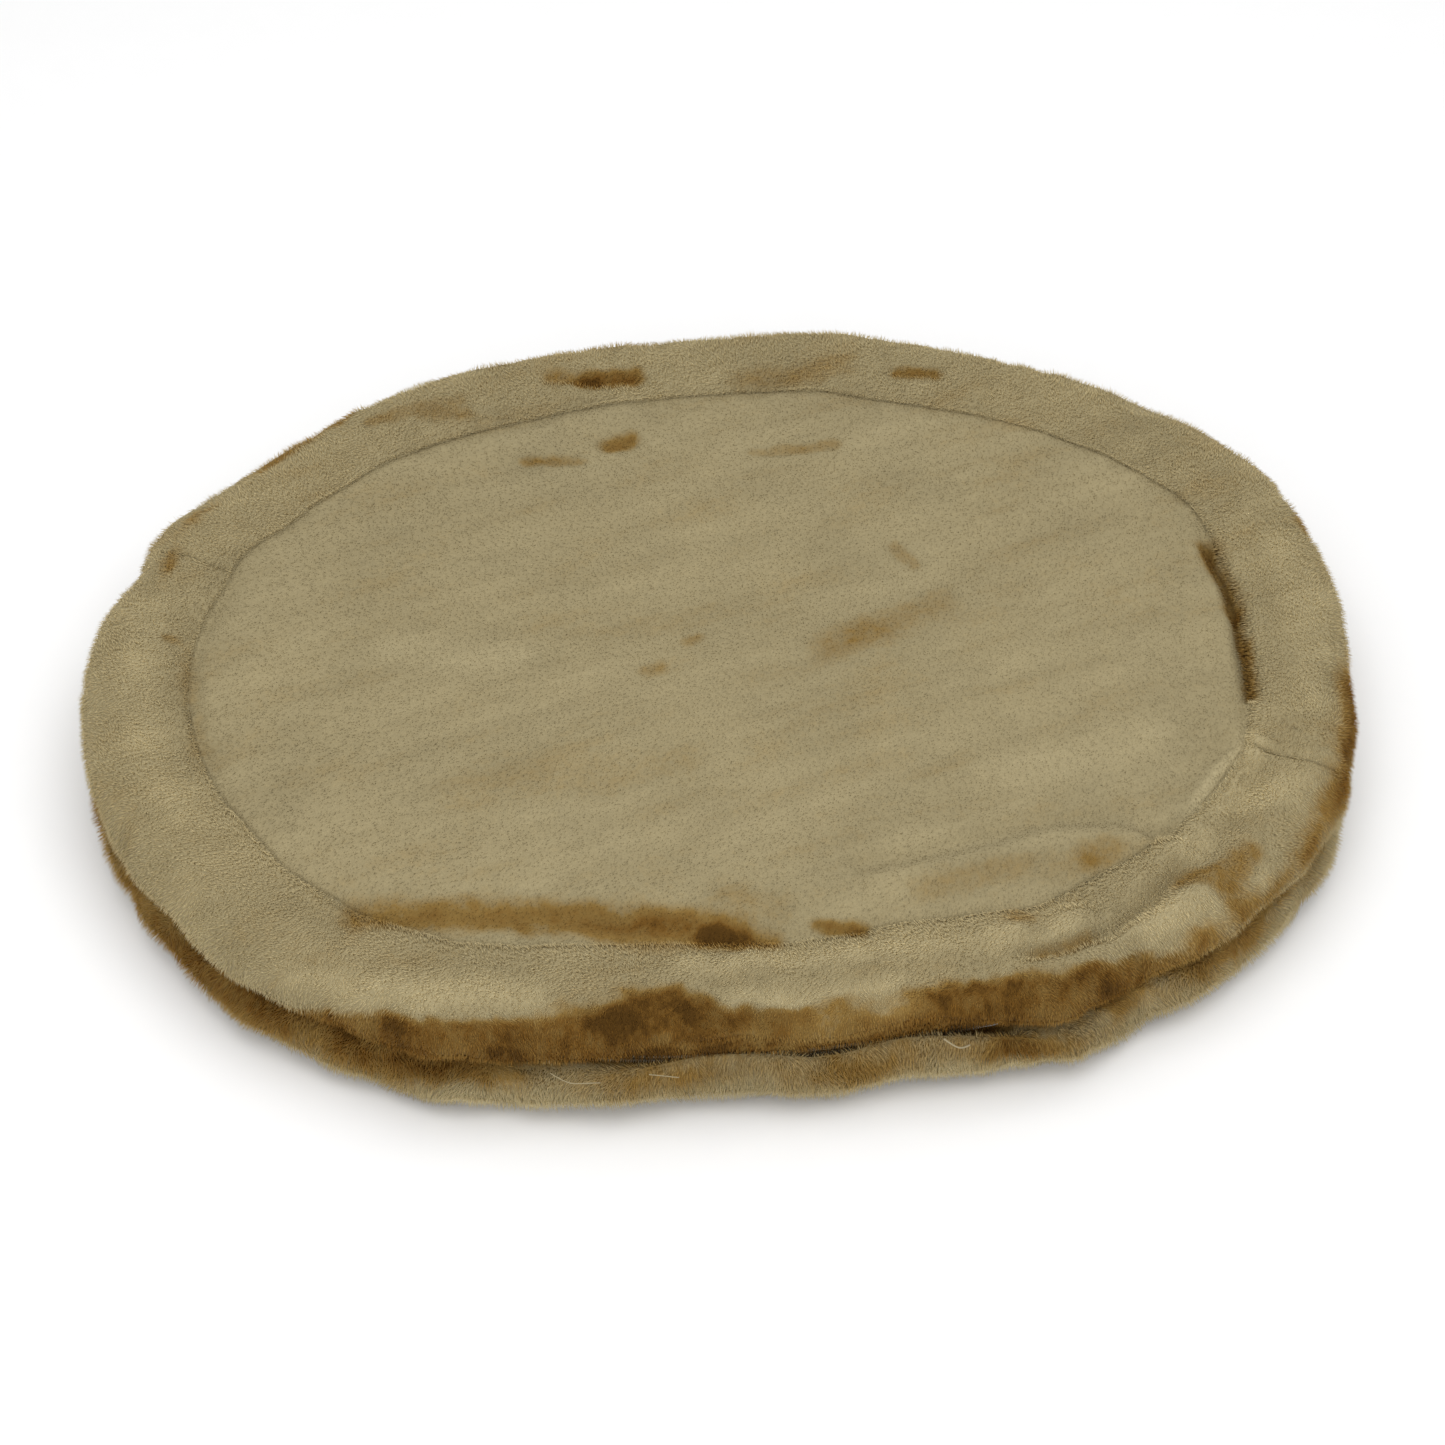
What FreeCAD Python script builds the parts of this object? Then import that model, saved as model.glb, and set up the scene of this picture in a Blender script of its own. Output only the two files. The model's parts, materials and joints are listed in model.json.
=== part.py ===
import FreeCAD, Part
import math
import os

# Oval pet cushion bed: a padded sleeping panel, a sewn groove and a stuffed rim round it, on a flat
# base, with a concealed zip in the front of the mid-height crease. Millimetres, +Z up. The origin is
# the middle of the base on the floor, +X runs along the length and -Y is the front.

# Driving sizes of the whole bed.
length = 700.0
width = 535.0
crest_height = 84.0          # top of the stuffed rim
pad_drop = 5.0               # the sleeping panel's top lies this far below the crest
groove_drop = 13.4           # and the rim strip's edge in the groove this far
crease_height = 41.0         # seam half way up the side
groove_inset = 60.0          # from the outer edge in to the groove

# Plan outline: an oval of arcs. The side and end arcs bow out past the corner arcs.
corner_radius = 225.0
side_bow = 22.0
end_bow = 4.0
join_angle = 25.0            # the strips join on the front right and rear left corners

# Side profile: two circles bulge out to the edge, above and below the crease.
upper_tuck = 9.0             # the crease cuts the upper circle this far above its lowest point
lower_tuck = 7.0             # and the lower circle this far below its highest point
base_inset = 20.0            # from the outer edge in to the edge of the base

# Cloth and filling thicknesses.
plush_thickness = 9.0        # backing and pile
plush_edge_radius = 7.5
base_cloth_thickness = 2.0
case_thickness = 1.2
wadding_thickness = 12.0
side_wadding_inset = 17.0    # inner side of the wadding and of the turned-in strip edges
thread_diameter = 1.0
thin_thread_diameter = 0.8
gap = 0.3                    # between curved pieces that lie against each other
thread_gap = 0.15
pad_case_seam_height = 36.0

# Zip, laid along the front crease.
zip_travel = 300.0
zip_slot_height = 12.0       # opening between the strips that the slider runs in
zip_inset = 13.4             # from the outer edge in to the tapes
tape_thickness = 0.8
tape_width = 15.0
tape_split = 1.6             # between the two tapes
tape_tail_closed = 9.0       # tape past each stop
tape_tail_open = 25.0
coil_thickness = 2.4
coil_width = 2.6
coil_split = 1.6             # the slider's post runs between the rows
stop_length = 2.4
stop_thickness = 2.8
slider_length = 11.0
slider_width = 8.4
slider_plate = 1.3
slider_post_width = 1.0
slider_clearance = 0.3
slider_post_length = 2.5
lug_spacing = 5.2            # between the two lugs that hold the pull's bar
lug_width = 1.0
lug_length = 2.8
bar_diameter = 1.2
pull_length = 20.0
pull_height = 4.4
pull_thickness = 1.2
pull_bore = 1.8
pull_eye_diameter = 2.8
pull_hole_diameter = 2.2
zip_stitch_offset = 9.0      # from the crease to each sewing line on the tapes

UP = FreeCAD.Vector(0, 0, 1)

# Sizes that follow from those above.
pad_height = crest_height - pad_drop
upper_bulge_radius = (crest_height - crease_height + upper_tuck) / 2
lower_bulge_radius = (crease_height + lower_tuck) / 2
rim_slope_reach = groove_inset - upper_bulge_radius
rim_top_radius = (rim_slope_reach ** 2 + groove_drop ** 2) / (2 * groove_drop)


def plan_arcs():
    """The outline's arcs, anticlockwise: centre, radius, first angle and last angle in degrees."""
    corner_x = length / 2 - end_bow - corner_radius
    corner_y = width / 2 - side_bow - corner_radius
    side_radius = (corner_x ** 2 + (side_bow + corner_radius) ** 2 - corner_radius ** 2) / (2 * side_bow)
    end_radius = (corner_y ** 2 + (end_bow + corner_radius) ** 2 - corner_radius ** 2) / (2 * end_bow)
    side_y = width / 2 - side_radius
    end_x = length / 2 - end_radius
    side_turn = math.degrees(math.atan2(corner_x, corner_y - side_y))
    end_turn = math.degrees(math.atan2(corner_y, corner_x - end_x))
    arcs = []
    for quarter, (sx, sy) in enumerate([(1, -1), (1, 1), (-1, 1), (-1, -1)]):
        corner = FreeCAD.Vector(sx * corner_x, sy * corner_y, 0)
        side = FreeCAD.Vector(0, sy * side_y, 0)
        end = FreeCAD.Vector(sx * end_x, 0, 0)
        turn = 90 * quarter - 90
        if quarter % 2 == 0:
            arcs.append((corner, corner_radius, turn + side_turn, turn + 90 - end_turn))
            arcs.append((end, end_radius, turn + 90 - end_turn, turn + 90 + end_turn))
        else:
            arcs.append((corner, corner_radius, turn + end_turn, turn + 90 - side_turn))
            arcs.append((side, side_radius, turn + 90 - side_turn, turn + 90 + side_turn))
    return arcs


ARCS = plan_arcs()
FRONT_CENTRE = ARCS[-1][0]
FRONT_RADIUS = ARCS[-1][1]


def station(arc, angle, inset, z):
    """Point on one arc's radial line, inset from the outline."""
    centre, radius = arc[0], arc[1]
    turn = math.radians(angle)
    reach = radius - inset
    return centre + FreeCAD.Vector(reach * math.cos(turn), reach * math.sin(turn), z)


def oval_face(inset, z):
    """Flat oval, inset from the outline, at one height."""
    edges = []
    for arc in ARCS:
        first, last = arc[2], arc[3]
        ends = [station(arc, angle, inset, z) for angle in (first, (first + last) / 2, last)]
        edges.append(Part.Arc(*ends).toShape())
    return Part.Face(Part.Wire(edges))


def plate(inset, bottom, top):
    """Flat oval layer."""
    return oval_face(inset, bottom).extrude(UP * (top - bottom))


def section(start, steps):
    """Closed section of a ring. Points are (inset, height); a step is an end, or a middle and an end."""
    def place(point):
        return FreeCAD.Vector(-point[0], 0, point[1])

    edges = []
    here = start
    for step in steps + [[start]]:
        if step[-1] == here:
            continue
        if len(step) == 1:
            edges.append(Part.LineSegment(place(here), place(step[-1])).toShape())
        else:
            edges.append(Part.Arc(place(here), place(step[0]), place(step[-1])).toShape())
        here = step[-1]
    return Part.Face(Part.Wire(edges))


def box_section(inner, outer, bottom, top):
    """Rectangular section between two insets and two heights."""
    return section((outer, bottom), [[(inner, bottom)], [(inner, top)], [(outer, top)]])


def thread_section(inset, z, diameter):
    """Round section of a sewing thread."""
    circle = Part.Circle(FreeCAD.Vector(-inset, 0, z), FreeCAD.Vector(0, 1, 0), diameter / 2)
    return Part.Face(Part.Wire([circle.toShape()]))


def turn_along(face, arc):
    """One section turned about the centre of one arc."""
    centre, radius, first, last = arc
    placed = face.copy()
    placed.translate(FreeCAD.Vector(radius, 0, 0))
    placed.rotate(FreeCAD.Vector(0, 0, 0), UP, first)
    placed.translate(centre)
    return placed.revolve(centre, UP, last - first)


def ring(face, arcs=None):
    """One section carried along the outline's arcs, as one solid."""
    spans = [turn_along(face, arc) for arc in (arcs or ARCS)]
    joined = spans[0].multiFuse(spans[1:]) if len(spans) > 1 else spans[0]
    return joined.removeSplitter().Solids[0]


def split_arcs():
    """The outline's arcs from join to join: those of the front strip, then those of the rear strip."""
    corner_front, end_right, corner_right, side_rear, corner_rear, end_left, corner_left, side_front = ARCS
    cut_front = -join_angle
    cut_rear = 180 - join_angle
    front = [corner_rear[:2] + (cut_rear, corner_rear[3]), end_left, corner_left, side_front]
    front.append(corner_front[:3] + (cut_front,))
    rear = [corner_front[:2] + (cut_front, corner_front[3]), end_right, corner_right, side_rear]
    rear.append(corner_rear[:3] + (cut_rear,))
    return front, rear


FRONT_ARCS, REAR_ARCS = split_arcs()


def circle_inset(centre_inset, centre_z, radius, z):
    """Outer inset of a bulge's circle at one height."""
    return centre_inset - math.sqrt(radius ** 2 - (z - centre_z) ** 2)


def circle_height(centre_inset, centre_z, radius, inset, side=1):
    """Upper or lower height of a circle at one inset."""
    return centre_z + side * math.sqrt(radius ** 2 - (inset - centre_inset) ** 2)


# Centres of the profile's circles, as (inset, height).
UPPER = (upper_bulge_radius, crest_height - upper_bulge_radius)
LOWER = (lower_bulge_radius, lower_bulge_radius)
RIM_TOP = (upper_bulge_radius, crest_height - rim_top_radius)


def rim_strip_section():
    """Plush strip from the crease up over the rim and in to the groove."""
    thin = plush_thickness
    inner = upper_bulge_radius - thin
    inner_top = rim_top_radius - thin
    slope = (UPPER[0] + groove_inset) / 2
    lip = side_wadding_inset
    crease = (circle_inset(*UPPER, upper_bulge_radius, crease_height), crease_height)
    crest = (UPPER[0], crest_height)
    groove = (groove_inset, circle_height(*RIM_TOP, rim_top_radius, groove_inset))
    under_groove = (groove_inset, circle_height(*RIM_TOP, inner_top, groove_inset))
    return section(crease, [
        [(0.0, UPPER[1]), crest],
        [(slope, circle_height(*RIM_TOP, rim_top_radius, slope)), groove],
        [under_groove],
        [(slope, circle_height(*RIM_TOP, inner_top, slope)), (UPPER[0], crest_height - thin)],
        [(thin, UPPER[1]), (lip, circle_height(*UPPER, inner, lip, -1))],
        [(lip, crease_height)],
    ])


def lower_strip_section():
    """Plush strip from the crease down to the base."""
    thin = plush_thickness
    inner = lower_bulge_radius - thin
    lip = side_wadding_inset
    crease = (circle_inset(*LOWER, lower_bulge_radius, crease_height), crease_height)
    foot = (base_inset, circle_height(*LOWER, lower_bulge_radius, base_inset, -1))
    return section(crease, [
        [(0.0, LOWER[1]), foot],
        [(base_inset, circle_height(*LOWER, inner, base_inset, -1))],
        [(thin, LOWER[1]), (lip, circle_height(*LOWER, inner, lip))],
        [(lip, crease_height)],
    ])


def side_wadding_section(circle, radius):
    """Wadding that fills a bulge behind the plush."""
    inner = radius - plush_thickness - gap
    reach = circle[0] - inner
    low = (side_wadding_inset, circle_height(*circle, inner, side_wadding_inset, -1))
    high = (side_wadding_inset, circle_height(*circle, inner, side_wadding_inset))
    return section(low, [[(reach, circle[1]), high]])


def rim_tube_section(depth):
    """The rim's stuffed tube, drawn in from its outside by a depth."""
    wall = side_wadding_inset + gap + depth
    upper = upper_bulge_radius - plush_thickness - gap - depth
    top = rim_top_radius - plush_thickness - gap - depth
    lower = lower_bulge_radius - plush_thickness - gap - depth
    heel = base_inset + thread_diameter + 3 * gap + depth
    floor = base_cloth_thickness + depth
    inner_wall = groove_inset - depth
    bend = (wall + heel) / 2
    shoulder = (wall + UPPER[0]) / 2
    slope = (UPPER[0] + inner_wall) / 2
    start = (wall, circle_height(*LOWER, lower, wall, -1))
    return section(start, [
        [(bend, circle_height(*LOWER, lower, bend, -1)), (heel, circle_height(*LOWER, lower, heel, -1))],
        [(heel, floor)],
        [(inner_wall, floor)],
        [(inner_wall, circle_height(*RIM_TOP, top, inner_wall))],
        [(slope, circle_height(*RIM_TOP, top, slope)), (UPPER[0], RIM_TOP[1] + top)],
        [(shoulder, circle_height(*UPPER, upper, shoulder)), (wall, circle_height(*UPPER, upper, wall))],
    ])


# Zip: distances along it are measured on the tapes' outer face, from the middle of the front.
ZIP_RADIUS = FRONT_RADIUS - zip_inset
STOP_REACH = (zip_travel + slider_length) / 2 + slider_clearance
TAPE_START = -STOP_REACH - stop_length - tape_tail_closed
TAPE_END = STOP_REACH + stop_length + tape_tail_open
COIL_FACE = zip_inset - coil_thickness - thread_gap
SLIDER_FACE = COIL_FACE - slider_clearance - slider_plate
BAR_INSET = SLIDER_FACE - slider_clearance - pull_eye_diameter / 2


def zip_angle(distance):
    """Angle about the front arc's centre of a distance along the zip."""
    return 270 + math.degrees(distance / ZIP_RADIUS)


def along_zip(face, start, end):
    """Section carried along a stretch of the zip."""
    return turn_along(face, (FRONT_CENTRE, FRONT_RADIUS, zip_angle(start), zip_angle(end)))


def zip_band(inner, outer, bottom, top, start, end):
    """Curved bar between two insets, two heights above the crease and two distances along the zip."""
    face = box_section(inner, outer, crease_height + bottom, crease_height + top)
    return along_zip(face, start, end)


def zip_slot():
    """Space that the slider and its pull move in, open to the front."""
    half = zip_slot_height / 2
    return zip_band(side_wadding_inset + gap / 2, -gap, -half, half, TAPE_START - gap, TAPE_END + gap)


def tape_pocket():
    """Space for the tapes behind the plush strips."""
    reach = tape_split / 2 + tape_width + gap
    return zip_band(side_wadding_inset + gap / 2, zip_inset - gap, -reach, reach,
                    TAPE_START - gap, TAPE_END + gap)


def two_rows(inner, outer, near, far, start, end):
    """The same bar above and below the crease: the upper one, then the lower one."""
    return (zip_band(inner, outer, near, far, start, end),
            zip_band(inner, outer, -far, -near, start, end))


def zip_stop(start, end):
    """Stop across both rows of teeth."""
    reach = coil_split / 2 + coil_width
    outer = zip_inset - thread_gap - stop_thickness
    return zip_band(zip_inset - thread_gap, outer, -reach, reach, start, end)


def zip_slider():
    """Slider parked against the closed stop, with two lugs and a bar for its pull."""
    centre = -zip_travel / 2
    start = centre - slider_length / 2
    end = centre + slider_length / 2
    half = slider_width / 2
    plate_back = SLIDER_FACE + slider_plate
    behind = zip_inset + tape_thickness + slider_clearance
    flange = coil_split / 2 + coil_width + slider_clearance
    lug = lug_spacing / 2
    lug_reach = SLIDER_FACE - lug_length
    pieces = [
        zip_band(plate_back, SLIDER_FACE, -half, half, start, end),
        zip_band(behind + slider_plate, behind, -half, half, start, end),
        zip_band(behind, plate_back, -slider_post_width / 2, slider_post_width / 2,
                 start, start + slider_post_length),
    ]
    pieces += two_rows(zip_inset - slider_clearance, plate_back, flange, half, start, end)
    pieces += two_rows(SLIDER_FACE, lug_reach, lug, lug + lug_width,
                       centre - lug_length / 2, centre + lug_length / 2)
    bar_foot = station(ARCS[-1], zip_angle(centre), BAR_INSET, crease_height - lug - lug_width / 2)
    pieces.append(Part.makeCylinder(bar_diameter / 2, lug_spacing + lug_width, bar_foot, UP))
    return pieces[0].multiFuse(pieces[1:]).removeSplitter().Solids[0]


def zip_pull():
    """Tab that swings on the slider's bar, lying along the teeth."""
    half = pull_height / 2
    eye = Part.makeCylinder(pull_eye_diameter / 2, pull_height, FreeCAD.Vector(0, 0, -half))
    corner = FreeCAD.Vector(0, -pull_thickness / 2, -half)
    tab = Part.makeBox(pull_length - half, pull_thickness, pull_height, corner)
    tip_centre = FreeCAD.Vector(pull_length - half, -pull_thickness / 2, 0)
    tip = Part.makeCylinder(half, pull_thickness, tip_centre, FreeCAD.Vector(0, 1, 0))
    body = eye.multiFuse([tab, tip])
    bore = Part.makeCylinder(pull_bore / 2, pull_height, FreeCAD.Vector(0, 0, -half))
    hole = Part.makeCylinder(pull_hole_diameter / 2, pull_thickness, tip_centre, FreeCAD.Vector(0, 1, 0))
    body = body.cut(bore).cut(hole).removeSplitter()
    angle = zip_angle(-zip_travel / 2)
    body.rotate(FreeCAD.Vector(0, 0, 0), UP, angle - 270)
    body.translate(station(ARCS[-1], angle, BAR_INSET, crease_height))
    return body.Solids[0]


def crease_thread():
    """Seam thread in the crease, all round except along the zip."""
    reach = thread_diameter / 2 + thread_gap
    upper = circle_inset(*UPPER, upper_bulge_radius + reach, crease_height)
    lower = circle_inset(*LOWER, lower_bulge_radius + reach, crease_height)
    face = thread_section(min(upper, lower), crease_height, thread_diameter)
    centre, radius, first, last = ARCS[-1]
    before = (centre, radius, first, zip_angle(TAPE_START - gap))
    after = (centre, radius, zip_angle(TAPE_END + gap), last)
    return ring(face, [after] + ARCS[:-1] + [before])


def groove_thread():
    """Seam thread lying in the groove, between the rim strip and the sleeping panel."""
    reach = thread_diameter / 2 + thread_gap
    inset = groove_inset + gap - reach
    return ring(thread_section(inset, circle_height(*RIM_TOP, rim_top_radius + reach, inset), thread_diameter))


def base_thread():
    """Seam thread inside, where the base meets the lower strip."""
    reach = thread_diameter / 2 + thread_gap
    return ring(thread_section(base_inset + reach, base_cloth_thickness + reach, thread_diameter))


def sleeping_panel():
    """Plush panel inside the groove, with a rounded upper edge."""
    panel = plate(groove_inset + gap, pad_height - plush_thickness, pad_height)
    top_edges = [edge for edge in panel.Edges if edge.BoundBox.ZMin > pad_height - gap]
    return panel.makeFillet(plush_edge_radius, top_edges).Solids[0]


def pad_layers():
    """The inner pad: its case in two halves, and the layers inside, from the bottom up."""
    outside = groove_inset + thread_diameter + 2 * thread_gap
    inside = outside + case_thickness
    bottom = base_cloth_thickness
    top = pad_height - plush_thickness
    floor = bottom + case_thickness
    roof = top - case_thickness
    seam = pad_case_seam_height
    fill = inside + gap
    thread = groove_inset + thread_gap + thread_diameter / 2
    return {
        "pad_case_bottom": plate(outside, bottom, seam).cut(plate(inside, floor, seam)),
        "pad_case_top": plate(outside, seam, top).cut(plate(inside, seam, roof)),
        "pad_case_stitching": ring(thread_section(thread, seam, thread_diameter)),
        "wadding_bottom": plate(fill, floor, floor + wadding_thickness),
        "foam_core": plate(fill, floor + wadding_thickness, roof - wadding_thickness),
        "wadding_top": plate(fill, roof - wadding_thickness, roof),
    }


def cover_pieces():
    """Plush cover, its seams and the wadding behind its side strips."""
    slot = zip_slot()
    pocket = tape_pocket()
    rim = rim_strip_section()
    lower = lower_strip_section()
    upper_wadding = ring(side_wadding_section(UPPER, upper_bulge_radius))
    lower_wadding = ring(side_wadding_section(LOWER, lower_bulge_radius))
    return {
        "top_panel": sleeping_panel(),
        "rim_panel_front": ring(rim, FRONT_ARCS).cut(slot).cut(pocket),
        "rim_panel_rear": ring(rim, REAR_ARCS),
        "lower_panel_front": ring(lower, FRONT_ARCS).cut(slot).cut(pocket),
        "lower_panel_rear": ring(lower, REAR_ARCS),
        "base_panel": plate(base_inset + gap, 0.0, base_cloth_thickness),
        "rim_wadding": upper_wadding.cut(slot).cut(pocket),
        "lower_wadding": lower_wadding.cut(slot).cut(pocket),
        "groove_stitching": groove_thread(),
        "middle_seam_stitching": crease_thread(),
        "base_seam_stitching": base_thread(),
    }


def rim_pieces():
    """Stuffed tube inside the rim."""
    case = ring(rim_tube_section(0.0)).cut(ring(rim_tube_section(case_thickness)))
    return {
        "rim_case": case,
        "rim_fill": ring(rim_tube_section(case_thickness + gap)),
    }


def zip_pieces():
    """Concealed zip in the front crease."""
    near = tape_split / 2
    back = zip_inset + tape_thickness
    tapes = two_rows(back, zip_inset, near, near + tape_width, TAPE_START, TAPE_END)
    coil_back = zip_inset - thread_gap
    coils = two_rows(coil_back, COIL_FACE, coil_split / 2, coil_split / 2 + coil_width,
                     -STOP_REACH, STOP_REACH)
    thread = back + thread_gap + thin_thread_diameter / 2
    lines = [along_zip(thread_section(thread, crease_height + side * zip_stitch_offset,
                                      thin_thread_diameter), TAPE_START, TAPE_END) for side in (1, -1)]
    return {
        "zip_tape_upper": tapes[0],
        "zip_tape_lower": tapes[1],
        "zip_coil_upper": coils[0],
        "zip_coil_lower": coils[1],
        "zip_stop_closed": zip_stop(-STOP_REACH - stop_length, -STOP_REACH),
        "zip_stop_open": zip_stop(STOP_REACH, STOP_REACH + stop_length),
        "zip_slider": zip_slider(),
        "zip_pull": zip_pull(),
        "zip_stitching": Part.makeCompound(lines),
    }


def main():
    os.makedirs("parts", exist_ok=True)
    pieces = {}
    for group in (cover_pieces, rim_pieces, pad_layers, zip_pieces):
        pieces.update(group())
    for name, shape in pieces.items():
        shape.exportStep("parts/" + name + ".step")
        print(name, len(shape.Solids), "solids", round(shape.Volume / 1000, 2), "cm3", shape.isValid())
    print("slider axis", FRONT_CENTRE, "turn", round(math.degrees(zip_travel / ZIP_RADIUS), 4))
    print("pull axis", station(ARCS[-1], zip_angle(-zip_travel / 2), BAR_INSET, crease_height))


main()
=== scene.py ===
# %% [markdown]
# # An oval plush cushion bed, sewn around its CAD frame
# The bed is a flat sleeping pad, a groove sewn round it, and a stuffed rim outside the groove. All of it
# is covered in short plush. The CAD frame already fixes every size and the zip that moves. Blender adds
# what CAD leaves plain: cloth that swells between its seams, folds at a corner, and the pile itself.
#
# First the frame is loaded, and its box is kept, because the bed's sizes are read from it.

# %% Load the frame
import json
import math

import bmesh
import bpy
import numpy as np
from mathutils import Matrix, Vector, noise


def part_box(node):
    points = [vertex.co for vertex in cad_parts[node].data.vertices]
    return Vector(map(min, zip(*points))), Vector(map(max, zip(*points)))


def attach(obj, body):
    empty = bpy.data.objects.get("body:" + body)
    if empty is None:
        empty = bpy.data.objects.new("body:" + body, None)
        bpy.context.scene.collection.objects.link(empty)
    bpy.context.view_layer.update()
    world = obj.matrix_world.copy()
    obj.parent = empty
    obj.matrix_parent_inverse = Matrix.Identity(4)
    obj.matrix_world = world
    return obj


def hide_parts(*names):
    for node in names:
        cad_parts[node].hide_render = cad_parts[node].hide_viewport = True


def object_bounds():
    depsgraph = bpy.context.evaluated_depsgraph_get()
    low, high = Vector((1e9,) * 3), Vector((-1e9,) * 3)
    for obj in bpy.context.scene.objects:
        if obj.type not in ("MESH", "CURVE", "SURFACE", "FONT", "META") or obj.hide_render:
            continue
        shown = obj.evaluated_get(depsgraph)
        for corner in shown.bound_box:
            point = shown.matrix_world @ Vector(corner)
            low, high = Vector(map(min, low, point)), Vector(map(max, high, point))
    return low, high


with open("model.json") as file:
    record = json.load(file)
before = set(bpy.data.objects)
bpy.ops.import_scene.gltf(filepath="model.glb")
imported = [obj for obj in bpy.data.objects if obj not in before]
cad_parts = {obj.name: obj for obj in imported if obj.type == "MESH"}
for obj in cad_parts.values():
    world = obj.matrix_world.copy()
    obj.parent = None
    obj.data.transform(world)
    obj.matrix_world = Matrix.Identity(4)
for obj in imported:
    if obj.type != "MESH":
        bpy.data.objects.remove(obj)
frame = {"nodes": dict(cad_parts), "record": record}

cad_low, cad_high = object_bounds()
MM = 0.001
# Vector noise starts from the clock unless it gets a seed, and every run has to look the same.
noise.seed_set(7)
print("CAD box, mm:", [round(v / MM, 1) for v in cad_high - cad_low])

# %% [markdown]
# ## The oval
# A cutter draws this oval with arcs: a tight one on each corner, and long ones that bow out along the
# sides and ends. Arcs keep their centres when they are drawn further in, so one list of arcs serves the
# outer edge, the groove and every row of cloth between them. Only the corner radius and the two bows
# are stated here. The rest comes from the frame's own length and width.

# %% Arcs of the outline
LENGTH = cad_high.x - cad_low.x
WIDTH = cad_high.y - cad_low.y
CORNER_RADIUS = 225 * MM
SIDE_BOW = 22 * MM
END_BOW = 4 * MM


def outline_arcs():
    """Centre x and y, radius, first and last angle of each arc, anticlockwise from the front right."""
    corner_x = LENGTH / 2 - END_BOW - CORNER_RADIUS
    corner_y = WIDTH / 2 - SIDE_BOW - CORNER_RADIUS
    side = (corner_x ** 2 + (SIDE_BOW + CORNER_RADIUS) ** 2 - CORNER_RADIUS ** 2) / (2 * SIDE_BOW)
    end = (corner_y ** 2 + (END_BOW + CORNER_RADIUS) ** 2 - CORNER_RADIUS ** 2) / (2 * END_BOW)
    side_y = WIDTH / 2 - side
    end_x = LENGTH / 2 - end
    side_turn = math.atan2(corner_x, corner_y - side_y)
    end_turn = math.atan2(corner_y, corner_x - end_x)
    quarter = math.pi / 2
    arcs = []
    for step, (sx, sy) in enumerate([(1, -1), (1, 1), (-1, 1), (-1, -1)]):
        turn = quarter * (step - 1)
        corner = (sx * corner_x, sy * corner_y, CORNER_RADIUS)
        if step % 2 == 0:
            arcs.append(corner + (turn + side_turn, turn + quarter - end_turn))
            arcs.append((sx * end_x, 0.0, end, turn + quarter - end_turn, turn + quarter + end_turn))
        else:
            arcs.append(corner + (turn + end_turn, turn + quarter - side_turn))
            arcs.append((0.0, sy * side_y, side, turn + quarter - side_turn, turn + quarter + side_turn))
    return arcs


ARCS = outline_arcs()
ARC_LENGTHS = [radius * (last - first) for _, _, radius, first, last in ARCS]
PERIMETER = sum(ARC_LENGTHS)
print("perimeter, mm:", round(PERIMETER / MM), "in", len(ARCS), "arcs")


# %% Walk along the oval, and read it back
def on_oval(share, inset, height):
    """The place at a share of the way round, drawn in from the outer edge, at a height."""
    distance = (share % 1.0) * PERIMETER
    for (x, y, radius, first, last), length in zip(ARCS, ARC_LENGTHS):
        if distance <= length + 1e-9:
            turn = first + (last - first) * distance / length
            reach = radius - inset
            return Vector((x + reach * math.cos(turn), y + reach * math.sin(turn), height))
        distance -= length
    raise ValueError("share runs past the oval")


def read_oval(points):
    """For many points at once: the share of the way round, the inset, and the direction outwards."""
    share = np.zeros(len(points))
    inset = np.zeros(len(points))
    outwards = np.zeros((len(points), 2))
    best = np.full(len(points), np.inf)
    before = 0.0
    aside = 1000.0
    for (x, y, radius, first, last), length in zip(ARCS, ARC_LENGTHS):
        dx, dy = points[:, 0] - x, points[:, 1] - y
        middle = (first + last) / 2
        swing = (np.arctan2(dy, dx) - middle + np.pi) % (2 * np.pi) - np.pi
        reach = np.hypot(dx, dy)
        rank = aside * np.maximum(np.abs(swing) - (last - first) / 2, 0) + radius - reach
        nearer = rank < best
        best[nearer] = rank[nearer]
        share[nearer] = ((before + length / 2 + swing * radius) / PERIMETER)[nearer]
        inset[nearer] = (radius - reach)[nearer]
        safe = np.maximum(reach, 1e-6)
        outwards[nearer] = np.stack([dx / safe, dy / safe], 1)[nearer]
        before += length
    return share % 1.0, inset, outwards


# %% [markdown]
# ## Camera, floor and light
# The camera comes first, because it decides how much of each side is seen. It looks down at the bed from
# in front, a little from the left, from about three lengths away. The floor and the sky are plain and
# nearly white. One wide lamp hangs high behind the bed and a weaker one stands in front, so the top is
# evenly lit and the front wall falls into soft shade.

# %% Camera
ELEVATION = math.radians(46.5)
AZIMUTH = math.radians(-5.0)
DISTANCE = 3.0 * LENGTH
LENS = 93.4
SHIFT = (-0.0014, -0.0194)
TARGET = Vector((0.0, 0.0, cad_high.z / 2))


def direction(azimuth, elevation):
    """From the bed towards someone who looks at it from there."""
    level = math.cos(elevation)
    return Vector((math.sin(azimuth) * level, -math.cos(azimuth) * level, math.sin(elevation)))


def stand(thing, azimuth, elevation, distance):
    """Stands a camera or a lamp at a distance from the bed, looking at it."""
    towards = direction(azimuth, elevation)
    thing.location = TARGET + towards * distance
    thing.rotation_euler = towards.to_track_quat("Z", "Y").to_euler()
    bpy.context.scene.collection.objects.link(thing)


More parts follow.
